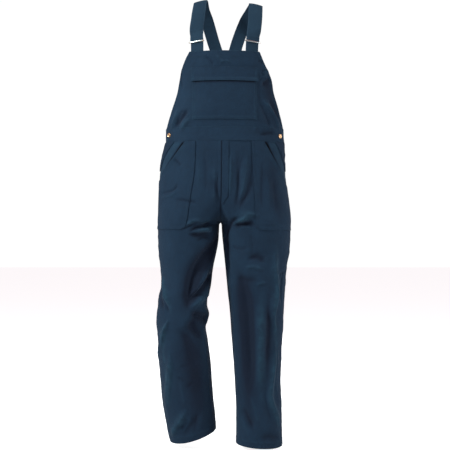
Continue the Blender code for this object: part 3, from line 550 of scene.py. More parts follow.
def puckers(side, turn, z, base):
    """Small ripples along the seams."""
    if side == "body":
        return 0.8 * unevenness(base, (15, 40, 300), 11) * (bell(z - BAND_TOP, 14) + bell(z - BAND_BOTTOM, 9))
    _, _, _, ry = leg_section(side, z)
    ripple = unevenness(base, (60, 60, 11), 12) + 0.6 * unevenness(base, (50, 50, 23), 13)
    inseam = math.pi + math.radians(INSEAM_TURN) * ease((CROTCH - z) / INSEAM_RUN)
    inside = bell(around(turn - inseam) * ry, 13) * ease((CROTCH - 20 - z) / 40)
    centre = bell(base[..., 0] - centre_x(z), 12) * ease((z - CROTCH) / 30)
    hem = bell(z - HEM_Z[side] - 20, 11) * unevenness(base, (17, 17, 200), 14)
    waist = bell(z - PANEL_TOP, 20) * unevenness(base, (19, 30, 200), 15)
    return ripple * (0.75 * bell(turn * ry, 15) + 0.6 * inside + 0.35 * centre) + 0.6 * hem + 0.9 * waist


def finished(side, turn, z):
    """The cloth's outer side with folds and puckers, the normals of the smooth form, and the folds' push."""
    base = form(side, turn, z)
    normal = facing(side, turn, z)
    if side == "body":
        free = ease((z - BAND_BOTTOM) / 20.0)
    else:
        from_seam = np.abs(base[..., 0] - centre_x(z))
        free = np.maximum(ease(from_seam / 25.0), ease((CROTCH - 25.0 - z) / 40.0))
        free = free * ease((PANEL_TOP - z) / 25.0)
    waves = sum(height * unevenness(base, cell, seed) for seed, (height, cell) in enumerate(WAVES, 1))
    folds = fold_push(side, turn, z, RELIEF) * free
    push = folds + waves * free + puckers(side, turn, z, base)
    return base + normal * push[..., None], normal, folds


# ---- stitching
class Stitches:
    """Rows of stitches on one piece of cloth, gathered into one mesh."""

    def __init__(self):
        self.spindles = []

    def run(self, path, normals, pitch=3.4, length=2.5, radius=0.42):
        """Lays stitches along a path: each is a short spindle that dips into the cloth at its ends."""
        along = np.concatenate([[0.0], np.cumsum(np.linalg.norm(np.diff(path, axis=0), axis=1))])
        begin = (np.arange(int(along[-1] / pitch)) + 0.15) * pitch

        def read(grid, share):
            return np.stack([np.interp(begin + share * length, along, grid[:, k]) for k in range(3)], 1)

        start, middle, end = (read(path, share) for share in (0, 0.5, 1))
        out = unit(read(normals, 0.5))
        aside = unit(np.cross(out, end - start)) * radius
        dip, swell = out * 0.12, out * 0.08
        spindle = (start - dip, end - dip, middle + aside + swell, middle - aside + swell,
                   middle + out * radius * 1.15)
        self.spindles.append(np.stack(spindle, 1).reshape(-1, 3))

    def make(self, name):
        points = np.concatenate(self.spindles)
        corners = np.array([(0, 2, 4), (0, 4, 3), (1, 4, 2), (1, 3, 4), (0, 3, 2), (1, 2, 3)])
        faces = np.arange(0, len(points), 5)[:, None, None] + corners
        item = add_mesh(name, points, faces.reshape(-1, 3).tolist(), THREAD)
        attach(item, "root")
        return item


# ---- laying out panels
class Panel(Stitches):
    """A grid of points on the cloth, with distances along it, and the rows of stitches on it."""

    def __init__(self, side, first, last, z, edges, step, under=-CLOTH, thickness=CLOTH):
        super().__init__()
        self.z = z
        self.turn, self.s, self.width = self.columns(side, first, last, edges, step)
        self.zz = z[:, None] + 0 * self.turn
        self.from_first, self.from_last = self.s, self.width[:, None] - self.s
        self.up, self.down = self.zz - z[0], z[-1] - self.zz
        self.points, self.normal, folds = finished(side, self.turn, self.zz)
        self.under = np.full(self.turn.shape, float(under))
        self.thick = np.full(self.turn.shape, float(thickness))
        # colour laid into the cloth: fold troughs darkened as painted shade, fold crests paled partly as wear
        # and partly as painted highlight, and the painted bands added
        self.wear_light_and_shade = np.clip(folds / FOLD_LIGHT_SHADE_SCALE + fold_push(side, self.turn, self.zz, PAINTED_TONES), -0.6, 0.9)

    def columns(self, side, first, last, edges, step):
        """Turns at set distances from each edge and evenly between, measured along the cloth."""
        dense = first[:, None] + (last - first)[:, None] * np.linspace(0.0, 1.0, 220)
        points = form(side, dense, self.z[:, None] + 0 * dense)
        pieces = np.linalg.norm(np.diff(points, axis=1), axis=-1)
        length = np.concatenate([np.zeros((len(pieces), 1)), np.cumsum(pieces, axis=1)], axis=1)
        width = length[:, -1]
        near, far = np.array(edges[0], float), np.array(edges[1], float)
        shrink = np.minimum(1.0, 0.9 * width / (near[-1] + far[-1] + 1e-6))[:, None]
        count = max(3, int(round((width.max() - near[-1] - far[-1]) / step)))
        between = np.linspace(0.0, 1.0, count + 1)[1:-1]
        a = near * shrink
        b = width[:, None] - far[::-1] * shrink
        s = np.concatenate([a, a[:, -1:] + (b[:, :1] - a[:, -1:]) * between, b], axis=1)
        return np.stack([np.interp(*row) for row in zip(s, length, dense)]), s, width

    def hem(self, distance, width, rise=HEM_RISE, worn=0.5):
        """Raises a band along an edge, and wears its fold and its stitched side a little."""
        self.thick += rise * (1 - ease((distance - width) / 1.8))
        self.wear_light_and_shade += worn * (0.5 * bell(distance, 2.0) + 0.35 * bell(distance - width, 2.5))

    def outer(self):
        return self.points + self.normal * (self.under + self.thick)[..., None]

    def at(self, z, s):
        """Points and normals of the outer side at heights and distances along the rows."""
        both = np.concatenate([self.outer(), self.normal], -1)
        row = np.interp(z, self.z, np.arange(len(self.z)))
        low = np.clip(row.astype(int), 0, len(self.z) - 2)

        def read(i, target):
            return np.array([np.interp(target, self.s[i], both[i, :, k]) for k in range(6)])

        spots = [read(i, t) * (1 - f) + read(i + 1, t) * f for i, f, t in zip(low, row - low, s)]
        return np.array(spots)[:, :3], np.array(spots)[:, 3:]

    def width_at(self, z):
        return np.interp(z, self.z, self.width)

    def stitch_up(self, low, high, offset, share=0.0, step=6.0):
        """A row up the panel, at an offset from a share of its width."""
        z = np.arange(low, high, step)
        self.run(*self.at(z, self.width_at(z) * share + offset))

    def stitch_across(self, z, inset, last_inset, width=None):
        """A row across the panel at one height."""
        s = np.arange(inset, (self.width_at(z) if width is None else width) - last_inset, 6.0)
        self.run(*self.at(np.full(len(s), float(z)), s))

    def bar_tack(self, z, s, long=9.0):
        """A short dense bar of thread across the end of an opening."""
        for row in (-0.8, 0.0, 0.8):
            spots = self.at(np.full(8, z + row), s + np.linspace(-long / 2, long / 2, 8))
            self.run(*spots, pitch=1.5, length=1.4, radius=0.4)


def add_mesh(name, points, faces, *materials):
    """Puts a smooth mesh, given in millimetres, into the scene."""
    mesh = bpy.data.meshes.new(name)
    mesh.from_pydata((np.array(points) * MM).tolist(), [], faces)
    mesh.shade_smooth()
    for material in materials:
        mesh.materials.append(material)
    item = bpy.data.objects.new(name, mesh)
    bpy.context.scene.collection.objects.link(item)
    return item


def shell(name, outer, inner, u, v, wear_light_and_shade, material, rim_wear_and_shade=0.2):
    """A closed shell between two grids, with a rounded edge, and its cloth's own millimetres as UVs."""
    rows, columns = outer.shape[:2]
    count = rows * columns
    index = np.arange(count).reshape(rows, columns)
    rim = np.concatenate([index[0, :], index[1:, -1], index[-1, -2::-1], index[-2:0:-1, 0]])
    beside = np.concatenate([index[1, :], index[1:, -2], index[-2, -2::-1], index[-2:0:-1, 1]])
    beside[columns - 1] = index[1, -2]
    flat_outer, flat_inner = outer.reshape(-1, 3), inner.reshape(-1, 3)
    thick = np.linalg.norm(flat_outer[rim] - flat_inner[rim], axis=1, keepdims=True)
    edge = (flat_outer[rim] + flat_inner[rim]) / 2 + unit(flat_outer[rim] - flat_outer[beside]) * thick * 0.3
    a, b = index[:-1, :-1].ravel(), index[:-1, 1:].ravel()
    c, d = index[1:, 1:].ravel(), index[1:, :-1].ravel()
    ring = 2 * count + np.arange(len(rim))
    rim_on, ring_on = np.roll(rim, -1), np.roll(ring, -1)
    quads = ((a, b, c, d), (a + count, d + count, c + count, b + count),
             (rim_on, rim, ring, ring_on), (ring_on, ring, rim + count, rim_on + count))
    faces = np.concatenate([np.stack(quad, 1) for quad in quads])
    ends = outer[-1, columns // 2] - outer[0, columns // 2]
    across = outer[rows // 2, -1] - outer[rows // 2, 0]
    if np.cross(across, ends) @ (outer - inner)[rows // 2, columns // 2] < 0:
        faces = faces[:, ::-1]
    item = add_mesh(name, np.concatenate([flat_outer, flat_inner, edge]), faces.tolist(), material)
    mesh = item.data
    flat = np.stack([u.ravel(), v.ravel()], 1) * MM
    corner = np.empty(len(mesh.loops), np.int32)
    mesh.loops.foreach_get("vertex_index", corner)
    uv = np.concatenate([flat, flat, flat[rim]])[corner]
    mesh.uv_layers.new(name="cloth").data.foreach_set("uv", uv.astype(np.float32).ravel())
    # the wear attribute holds real wear and painted highlight and shade; a rim above 0 is paler edge wear,
    # below 0 painted shadow along the edge
    worn = np.concatenate([wear_light_and_shade.ravel(), wear_light_and_shade.ravel() * 0, wear_light_and_shade.ravel()[rim] + rim_wear_and_shade])
    attribute = mesh.attributes.new("wear_light_and_shade", "FLOAT", "POINT")
    attribute.data.foreach_set("value", np.clip(worn, -1.4, 1).astype(np.float32))
    return item


def cloth_piece(name, panel, rim_wear_and_shade=0.2):
    """The shell of a panel, in place of the solid of that name, with the stitches that lie on it."""
    made = panel.make("stitches_" + name)
    inner = panel.points + panel.normal * panel.under[..., None]
    item = shell("cloth_" + name, panel.outer(), inner, panel.s, panel.zz, panel.wear_light_and_shade, NAVY, rim_wear_and_shade)
    declare(item, name, [made])


def stand_for(item, node):
    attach(item, "root")
    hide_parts(node)


def declare(item, node, stitches):
    stand_for(item, node)


# ---- materials
class Nodes:
    """The node tree of a material or a world, built node by node."""

    def __init__(self, block):
        self.block = block
        block.use_nodes = True
        self.tree = block.node_tree

    def feed(self, node, inputs):
        for key, value in inputs.items():
            if isinstance(value, bpy.types.NodeSocket):
                self.tree.links.new(value, node.inputs[key])
            else:
                node.inputs[key].default_value = value
        return node.outputs

    def add(self, kind, inputs=(), **settings):
        node = self.tree.nodes.new("ShaderNode" + kind)
        for key, value in settings.items():
            setattr(node, key, value)
        return self.feed(node, dict(inputs))

    def surface(self, inputs):
        self.feed(self.tree.nodes["Principled BSDF"], inputs)
        return self.block

    def math(self, operation, a, b=0.0):
        return self.add("Math", {0: a, 1: b}, operation=operation)[0]

    def mix(self, factor, a, b):
        return self.add("Mix", {0: factor, 6: a, 7: b}, data_type="RGBA")[2]

    def noise(self, vector, scale, detail=3.0, roughness=0.55):
        return self.add("TexNoise", {"Vector": vector, "Scale": scale, "Detail": detail,
                                     "Roughness": roughness})["Fac"]

    def level(self, value, low, high, to_low, to_high):
        return self.add("MapRange", {"Value": value, "From Min": low, "From Max": high, "To Min": to_low,
                                     "To Max": to_high})["Result"]

    def stretched(self, vector, scale):
        return self.noise(self.add("Mapping", {"Vector": vector, "Scale": scale})[0], 1.0)

    def bump(self, height, strength, distance, below=None):
        inputs = {"Height": height, "Strength": strength, "Distance": distance}
        if below:
            inputs["Normal"] = below
        return self.add("Bump", inputs)[0]


def new_material(name):
    """Its nodes, and the place on the object that its patterns go by."""
    n = Nodes(bpy.data.materials.new(name))
    return n, n.add("TexCoord")["Object"]


TWILL_PITCH = 1.1
CREASE_SHADE = (0.0095, 0.0125, 0.0270, 1)  # painted shade: the cloth's colour in its creases
DEEP_SHADE = (0.0008, 0.001, 0.002, 1)  # and in a pocket's mouth, in the centre seam and under the flap


def drill(name, dark, light, worn):
    """Heavy cotton twill: a fine diagonal weave, slubs, uneven dye, paler edges and seams, fold crests paled
    partly by wear and partly as painted highlight, and painted shade in creases and gaps.
    """
    n, place = new_material(name)
    cloth = n.add("UVMap", uv_map="cloth")["UV"]
    along = n.add("SeparateXYZ", {0: cloth})
    u = n.math("MULTIPLY", along[0], 2 * math.pi / (TWILL_PITCH * MM))
    v = n.math("MULTIPLY", along[1], 2 * math.pi / (TWILL_PITCH * 1.6 * MM))
    wander = n.math("MULTIPLY", n.noise(cloth, 260.0, 2.0), 3.0)
    rib = n.math("SINE", n.math("ADD", n.math("ADD", u, v), wander))
    yarn = n.math("SINE", n.math("MULTIPLY", n.math("SUBTRACT", u, v), 1.7))
    weave = n.math("ADD", n.math("MULTIPLY", rib, 0.7), n.math("MULTIPLY", yarn, 0.3))
    blotch = n.noise(place, 46.0, 5.0, 0.65)
    tone = n.math("MULTIPLY", weave, 0.16)
    slub = n.stretched(cloth, (160.0, 900.0, 1.0))
    for pattern, depth in ((n.noise(place, 9.0, 4.0), 0.16), (blotch, 0.13), (slub, 0.12)):
        tone = n.math("ADD", tone, n.level(pattern, 0.3, 0.7, -depth, depth))
    colour = n.mix(n.level(tone, -0.5, 0.5, 0.0, 1.0), dark, light)
    wear_light_and_shade = n.add("Attribute", attribute_name="wear_light_and_shade")["Fac"]
    # paler towards the last colour: real wear, and painted highlight on fold crests and bright bands
    wear_and_highlight = n.math("MULTIPLY", n.math("MAXIMUM", wear_light_and_shade, 0.0), n.level(blotch, 0.35, 0.7, 0.25, 1.0))
    # painted shade: below 0 towards the crease shade, below -0.6 towards the near-black painted shade of gaps
    colour = n.mix(n.level(wear_light_and_shade, -0.6, 0.0, 0.8, 0.0), colour, CREASE_SHADE)
    colour = n.mix(n.level(wear_light_and_shade, -1.2, -0.6, 0.95, 0.0), colour, DEEP_SHADE)
    crumple = n.bump(n.noise(place, 75.0, 3.0), 0.5, 0.0022)
    fine = n.bump(n.noise(place, 330.0, 2.0), 0.25, 0.0006, crumple)
    return n.surface({
        "Base Color": n.mix(n.math("MULTIPLY", wear_and_highlight, 0.55), colour, worn),
        "Roughness": n.level(blotch, 0.3, 0.7, 0.78, 0.92),
        "Specular IOR Level": 0.14,
        "Sheen Weight": 0.06,
        "Sheen Roughness": 0.45,
        "Sheen Tint": (0.62, 0.78, 1.0, 1.0),
        "Normal": n.bump(weave, 0.35, 0.00022, fine),
    })


def thread():
    n, place = new_material("thread")
    colour = n.mix(n.noise(place, 120.0, 2.0), (0.009, 0.018, 0.033, 1), (0.022, 0.041, 0.068, 1))
    return n.surface({"Base Color": colour, "Roughness": 0.8, "Specular IOR Level": 0.2})


def metal(name, dull, bright, roughness):
    """Plated metal with fine scratches and duller patches."""
    n, place = new_material(name)
    scratch = n.stretched(place, (300, 4000, 4000))
    return n.surface({
        "Base Color": n.mix(n.level(n.noise(place, 420.0, 4.0), 0.35, 0.65, 0.0, 1.0), dull, bright),
        "Metallic": 1.0,
        "Roughness": n.level(scratch, 0.3, 0.7, roughness - 0.08, roughness + 0.1),
        "Normal": n.bump(scratch, 0.15, 0.0001),
    })


# the last colour of each cloth is its pale one, for wear and for painted highlight
NAVY = drill("navy_drill", (0.0096, 0.0198, 0.0408, 1), (0.0186, 0.0404, 0.0760, 1), (0.034, 0.086, 0.128, 1))
BRACE = drill("brace_drill", (0.0130, 0.0285, 0.0525, 1), (0.0250, 0.0520, 0.0870, 1), (0.06, 0.10, 0.15, 1))
THREAD = thread()
NICKEL = metal("nickel", (0.62, 0.62, 0.63, 1), (0.88, 0.87, 0.86, 1), 0.24)
COPPER = metal("copper", (0.46, 0.22, 0.11, 1), (0.78, 0.46, 0.28, 1), 0.34)

# ---- legs
# distances of a grid's first columns or rows from an edge, closer together where the cloth is doubled
PLAIN_EDGE = (0.0, 1.5, 4.0)
SEAM_EDGE = (0.0, 1.0, 2.5, 5.0, 7.5, 9.0, 10.5, 13.0)
HEM_EDGE = (0.0, 1.2, 3.0, 7.0, 11.0, 15.0, 19.0, 21.5, 23.0, 25.0)
PATCH_EDGE = (0.0, 1.2, 3.0, 6.0, 9.0, 11.0, 13.0)
BAND_EDGE = (0.0, 0.8, 2.0, 3.5)
HEM_DEPTH = 22.0
SEAM_WIDTH = 9.0
SEAM_ROWS = (2.0, 7.6)  # the two rows of stitches of a felled seam


def heights(low, high, step, low_rows=(0.0,), high_rows=(0.0,), *extra):
    """Heights of a panel's rows: set ones at its lower and upper edges, and even ones between."""
    first, last = low + low_rows[-1], high - high_rows[-1]
    even = np.linspace(first, last, max(2, int(round((last - first) / step))) + 1)
    rows = set(np.round(even, 3)) | {low + r for r in low_rows} | {high - r for r in high_rows} | set(extra)
    rows = np.array(sorted(rows))
    return rows[np.concatenate([[True], np.diff(rows) > 0.35])]


def leg_edges(side, half, z):
    """Turns of the inner and the outer edge of a leg panel."""
    sign, gap = SIDES[side], SEAM_GAP / 2
    cx, rx, _, ry = leg_section(side, z)
    reach = np.arccos(np.clip((centre_x(z) + sign * gap - cx) / (sign * rx), -1.0, 1.0))
    joined = z > CROTCH + 1.0
    inseam = math.radians(INSEAM_TURN) * ease((CROTCH - z) / INSEAM_RUN)
    if half == "front":
        return np.where(joined, -reach, -math.pi + inseam + gap / ry), -gap / ry
    return np.where(joined, reach, math.pi + inseam - gap / ry), gap / ry


def leg_piece(side, half):
    """A leg panel, with felled seams, a hem and their stitches."""
    sign, hem_z, front = SIDES[side], HEM_Z[side], half == "front"
    z = heights(hem_z, PANEL_TOP, GRID_STEP, HEM_EDGE, (0.0, 2.0), CROTCH, CROTCH + 1.1)
    edges = (SEAM_EDGE, PLAIN_EDGE if front else SEAM_EDGE)
    panel = Panel(side, *leg_edges(side, half, z), z, edges, GRID_STEP)
    panel.hem(panel.up, HEM_DEPTH)
    above = ease((panel.zz - CROTCH + 10) / 20)
    if front:
        below = ease((CROTCH + 30 - panel.zz) / 20)
        panel.hem(panel.from_first, SEAM_WIDTH, HEM_RISE * (1.0 if side == "right" else below), 0.3)
        # painted near-black shade along the centre seam on the right front
        if side == "right":
            panel.wear_light_and_shade -= 1.1 * above * bell(panel.from_first, 2.2)
        past, mouth = past_mouth(side, panel)
        panel.under -= MOUTH_GROOVE * mouth * bell(past - 3.0, 4.5)
        # a paler strip outside a hip pocket's mouth, and painted near-black shade in the gap under the
        # mouth's edge
        panel.wear_light_and_shade += 0.4 * mouth * ease((past - 10) / 4) * ease((40 - past) / 10)
        panel.wear_light_and_shade -= 1.4 * mouth * ease((past + 25) / 5) * ease((9.5 - past) / 3)
    else:
        panel.hem(panel.from_last, SEAM_WIDTH)
        if side == "left":
            panel.hem(panel.from_first, SEAM_WIDTH, HEM_RISE * above)
    # above the crotch nothing of a leg crosses the centre seam
    centre = centre_x(panel.zz) + sign * SEAM_GAP / 2
    over = (sign * (panel.points[..., 0] - centre) < 0) & (panel.zz > CROTCH)
    panel.points[..., 0] = np.where(over, centre, panel.points[..., 0])
    into = (panel.normal[..., 0] * sign > 0) & (panel.s < 3.0) & (panel.zz > CROTCH)
    panel.normal[..., 0] = np.where(into, 0.0, panel.normal[..., 0])
    panel.stitch_across(hem_z + HEM_DEPTH - 3.0, 2, 2)
    for offset in SEAM_ROWS:
        if front:
            panel.stitch_up(hem_z + 3, FLY_BOTTOM - 8, offset)
        else:
            panel.stitch_up(hem_z + 3, PANEL_TOP - 3, -offset, 1.0)
            if side == "left":
                panel.stitch_up(CROTCH + 6, PANEL_TOP - 3, offset)
    cloth_piece(f"leg_{half}_{side}", panel)


# ---- bib and waistband
def bib_piece():
    z = heights(BAND_TOP + SEAM_GAP, BIB_TOP, FINE_STEP, (0.0, 2.0), HEM_EDGE)
    ends = body_turn(-smooth(z, BIB_EDGE, 1), z), body_turn(smooth(z, BIB_EDGE, 2), z)
    panel = Panel("body", *ends, z, (SEAM_EDGE, SEAM_EDGE), FINE_STEP)
    panel.hem(panel.down, HEM_DEPTH)
    panel.hem(panel.from_first, SEAM_WIDTH)
    panel.hem(panel.from_last, SEAM_WIDTH)
    for h in (BIB_TOP - 3.0, BIB_TOP - HEM_DEPTH + 3.0):
        panel.stitch_across(h, 3, 3)
    for offset in SEAM_ROWS:
        panel.stitch_up(BAND_TOP + 3, BIB_TOP - 3, offset)
        panel.stitch_up(BAND_TOP + 3, BIB_TOP - 3, -offset, 1.0)
    cloth_piece("bib_front", panel)


def bib_patch(name, patch, under):
    """The bib's pocket or its flap: a rectangle with turned edges."""
    low, high = patch["bottom"], patch["top"]
    z = heights(low, high, FINE_STEP, PATCH_EDGE, PATCH_EDGE[:4])
    ends = body_turn(0 * z - patch["right"], z), body_turn(0 * z + patch["left"], z)
    panel = patch_panel("body", *ends, z, (SEAM_EDGE, SEAM_EDGE), under)
    for distance in (panel.from_first, panel.from_last, panel.up):
        panel.hem(distance, SEAM_WIDTH, 0.4, 0.8)
    if name == "bib_pocket":
        full = ease(panel.from_first / 40) * ease(panel.from_last / 40) * ease(panel.up / 40)
        panel.under += POCKET_FULLNESS * full
        # painted shadow: a near-black band on the pocket under the flap's lower edge
        flap_shadow = bell(panel.zz - FLAP["bottom"], 4.5)
        panel.wear_light_and_shade -= 1.1 * flap_shadow * ease(panel.from_first / 12) * ease(panel.from_last / 12)
        for offset in SEAM_ROWS:
            panel.stitch_up(low + offset, high - 2, offset)
            panel.stitch_up(low + offset, high - 2, -offset, 1.0)
            panel.stitch_across(low + offset, offset, offset, panel.width[0])
        divider = (POCKET_DIVIDER + patch["right"]) / (patch["left"] + patch["right"])
        panel.stitch_up(low + 8, FLAP["bottom"], 0.0, divider)
    else:
        panel.under += FLAP_LIFT * ease((15 - panel.up) / 15)
        for offset in (2.2, 22.0):
            panel.stitch_across(low + offset, 3, 3, panel.width[0])
        panel.stitch_across(high - 2.2, 3, 3, panel.width[-1])
        panel.stitch_up(low + 3, high - 3, 2.2)
        panel.stitch_up(low + 3, high - 3, -2.2, 1.0)
    cloth_piece(name, panel)


def waistband_piece(half):
    z = heights(BAND_BOTTOM, BAND_TOP, FINE_STEP, BAND_EDGE, BAND_EDGE)
    gap = SEAM_GAP / 2 / smooth(z, BODY, 3)
    ends = (-math.pi + gap, -gap) if half == "front" else (gap, math.pi - gap)
    step = 3.0
    panel = Panel("body", *ends, z, (PLAIN_EDGE, PLAIN_EDGE), step, -CLOTH, BAND_CLOTH)
    panel.thick += 0.5 * np.sin(math.pi * (panel.zz - BAND_BOTTOM) / (BAND_TOP - BAND_BOTTOM))
    for distance in (panel.up, panel.down, panel.from_first, panel.from_last):
        panel.wear_light_and_shade += 0.15 * bell(distance, 2.2)
    for h in (BAND_BOTTOM + 3.0, BAND_TOP - 3.0):
        panel.stitch_across(h, 2, 2)
    cloth_piece(f"waistband_{half}", panel)


# ---- patches on the legs
def side_seam(side, z):
    return -PATCH_GAP / leg_section(side, z)[3]


def patch_panel(side, first, last, z, edges, under=PATCH_GAP):
    return Panel(side, first, last, z, edges, FINE_STEP, under, PATCH_CLOTH)


def slant(side, z):
    """The turn of the slanted edge of a hip pocket at heights above its foot."""
    (top_z, top_x), (low_z, low_x) = SLANT_TOP, HIP_POCKETS[side][1]
    slant_z = np.linspace(low_z, top_z, 200)
    return np.interp(z, slant_z, leg_turn(side, np.linspace(low_x, top_x, 200), slant_z))


def past_mouth(side, panel):
    """How far each point of a leg panel lies outside a hip pocket's slanted edge, and where that edge is."""
    _, rx, _, ry = leg_section(side, panel.zz)
    radius = np.hypot(rx * np.sin(panel.turn), ry * np.cos(panel.turn))
    past = (panel.turn - slant(side, panel.zz)) * radius * 0.75
    low_z = HIP_POCKETS[side][1][0]
    return past, ease((panel.zz - low_z) / 25) * ease((SLANT_TOP[0] + 4 - panel.zz) / 12)


def hip_pocket_piece(side):
    """A large patch pocket: its slanted mouth stands a little off the leg."""
    bottom, (low_z, _), inner = HIP_POCKETS[side]
    high_z = SLANT_TOP[0]
    z = heights(bottom, high_z, FINE_STEP, PATCH_EDGE, (0.0,), low_z)
    first = leg_turn(side, smooth(z, inner, 1), z)
    last = np.minimum(np.where(z > low_z + 0.1, slant(side, z), 0.0), side_seam(side, z))
    panel = patch_panel(side, first, last, z, (SEAM_EDGE, SEAM_EDGE))
    panel.hem(panel.from_first, SEAM_WIDTH, 0.5, 0.15)
    panel.hem(panel.up, SEAM_WIDTH, 0.5, 0.15)
    panel.hem(panel.from_last, SEAM_WIDTH * 1.3, 0.5 * ease((panel.zz - low_z) / 30), 0.7)
    along = np.clip((panel.zz - low_z) / (high_z - low_z), 0, 1)
    gape = np.sin(math.pi * along) * bell(panel.from_last, 16)
    full = ease(panel.from_first / 35) * ease(panel.up / 35) * ease(panel.from_last / 30)
    panel.under += MOUTH_GAPE * gape + 1.8 * full * ease(panel.down / 40)
    for offset in SEAM_ROWS:
        panel.stitch_up(bottom + 10 + offset, high_z - 2, offset)
        panel.stitch_across(bottom + offset, 4, 2, panel.width[0])
        panel.stitch_up(low_z + 4, high_z - 2, -offset * 1.35, 1.0, 4.0)
    panel.bar_tack(low_z + 3, panel.width_at(low_z + 3) - 7)
    # its rim is darkened: painted shadow along the pocket's edges
    cloth_piece(f"hip_pocket_{side}", panel, -0.6)


def placket_piece(side):
    z = heights(PLACKET_BOTTOM, PANEL_TOP - 1.0, FINE_STEP, PATCH_EDGE[:3])
    foot = -PLACKET_FOOT_WIDTH / leg_section(side, z[0])[3]
    top = leg_turn(side, PLACKET_TOP_WIDTH, z[-1])
    first = foot + (top - foot) * (z - z[0]) / (z[-1] - z[0])
    edges = ((0.0, 1.0, 2.5, 4.5), PLAIN_EDGE)
    panel = patch_panel(side, first, side_seam(side, z), z, edges)
    panel.hem(panel.from_first, 2.0, 0.3)
    panel.under += 1.3 * (1 + unevenness(panel.points, (40, 40, 10), 31)) * ease(panel.from_first / 6)
    panel.wear_light_and_shade -= 0.25
    panel.stitch_up(PLACKET_BOTTOM + 2, PANEL_TOP - 3, 2.5)
    cloth_piece(f"side_placket_{side}", panel)


def fly_piece():
    z = heights(FLY_BOTTOM, PANEL_TOP - 1.0, FINE_STEP, PATCH_EDGE[:3])
    start = centre_x(z) + 1.0
    width = FLY_WIDTH * (FLY_TIP + (1 - FLY_TIP) * ease((z - FLY_BOTTOM) / FLY_CURVE))
    ends = leg_turn("left", start, z), leg_turn("left", start + width, z)
    edge = (0.0, 0.8, 2.0, 3.2)
    panel = patch_panel("left", *ends, z, (edge, edge))
    panel.stitch_up(FLY_BOTTOM + 3, PANEL_TOP - 3, -2.0, 1.0, 4.0)
    # its rim is a little darker: painted shade along the fly's edges
    cloth_piece("fly_flap", panel, -0.2)


# ---- straps
def shoulder_line():
    """Rows of length along the line, depth, height and facing."""
    rows = np.array(SHOULDER)
    length = np.concatenate([[0.0], np.cumsum(np.hypot(np.diff(rows[:, 0]), np.diff(rows[:, 1])))])
    return [(at, *row) for at, row in zip(length, rows)]


LINE = shoulder_line()
LINE_TOP = max(range(len(LINE)), key=lambda i: LINE[i][2])


def line_length(part, z):
    """Length along the shoulder line at a height on its front or its back."""
    rows = LINE[: LINE_TOP + 1] if part == "f" else LINE[LINE_TOP:]
    return float(np.interp(z, *zip(*sorted((row[2], row[0]) for row in rows))))


def shoulder_surface(length, x):
    """A point of the straps' surface: the shoulder line, falling away to either side like a shoulder."""
    depth, height, lean = (smooth(length, LINE, column) for column in (1, 2, 3))
    lean = np.radians(lean)
    drop = SHOULDER_FALL * (1 - np.sqrt(1 - (x / SHOULDER_HALF_WIDTH) ** 2))
    return np.stack([x, depth + np.cos(lean) * drop, height - np.sin(lean) * drop], -1)


def along_strap(rows, length):
    return smooth(length, [(line_length(part, z), value) for part, z, value in rows], 1)


STRAP_COLUMNS = (0.0, 0.04, 0.1, 0.14, 0.2, 0.35, 0.5, 0.65, 0.8, 0.86, 0.9, 0.96, 1.0)
STRAP_STITCH = 3  # the column that the outer rows of stitches run along, counted from either edge
FOLDED_END = 19.0  # how far the cloth is doubled where a strap is folded around its buckle
FOLDED_RISE = 0.8


def strap_piece(name, side, first, last, lifts):
    """A strap or its tab: doubled cloth with an edge row of stitches on either side."""
    whole = last == LINE[-1][0]
    length = np.linspace(first, last, max(4, int((last - first) / FINE_STEP)))
    path = STRAP_PATHS[side]
    middle = along_strap(path, length)
    slope = (along_strap(path, length + 2.0) - along_strap(path, length - 2.0)) / 4.0
    across = np.array(STRAP_COLUMNS) * 2 - 1
    reach = (STRAP_WIDTH / 2 * np.sqrt(1 + slope**2))[:, None] * across
    x = middle[:, None] + reach
    ll = length[:, None] + 0 * x
    flat_base = shoulder_surface(ll, x)
    ahead = shoulder_surface(ll + 1.0, x) - shoulder_surface(ll - 1.0, x)
    aside = unit(shoulder_surface(ll, x + 1.0) - shoulder_surface(ll, x - 1.0))
    normal = unit(np.cross(aside, ahead))
    twist = np.radians(along_strap(STRAP_TWISTS[side], ll))[..., None] * SIDES[side]
    core = shoulder_surface(length, middle)[:, None]
    base = core + (flat_base - core) * np.cos(twist) + normal * reach[..., None] * np.sin(twist)
    normal = normal * np.cos(twist) - aside * np.sin(twist)
    lift = np.interp(length, *zip(*lifts))[:, None] + 0 * x
    thick = STRAP_CLOTH * (1 - 0.3 * np.abs(across) ** 6)
    thick = thick + 0.35 * unevenness(base, (60, 60, 13), 21) * np.abs(across) ** 3
    if whole:
        thick += FOLDED_RISE * (1 - ease((ll - first - FOLDED_END) / 2))
    outer, inner = base + normal * (lift + thick)[..., None], base + normal * lift[..., None]
    wear_light_and_shade = 0.6 * np.abs(across) ** 8 + 0 * x
    item = shell("cloth_" + name, outer, inner, (across + 1) * STRAP_WIDTH / 2 + 0 * x, ll, wear_light_and_shade, BRACE)
    stitches = Stitches()
    edge = STRAP_STITCH
    for j in (edge, len(across) - 1 - edge):
        stitches.run(outer[:, j], normal[:, j])
    if whole:
        rows = [int((FOLDED_END - 2) / (length[1] - length[0]))]
        for z in (BAND_TOP + 6, BAND_TOP + 34):
            rows.append(min(int(np.searchsorted(length, line_length("b", z))), len(length) - 2))
        for row in rows:
            stitches.run(outer[row, edge:-edge], normal[row, edge:-edge])
    declare(item, name, [stitches.make("stitches_" + name)])


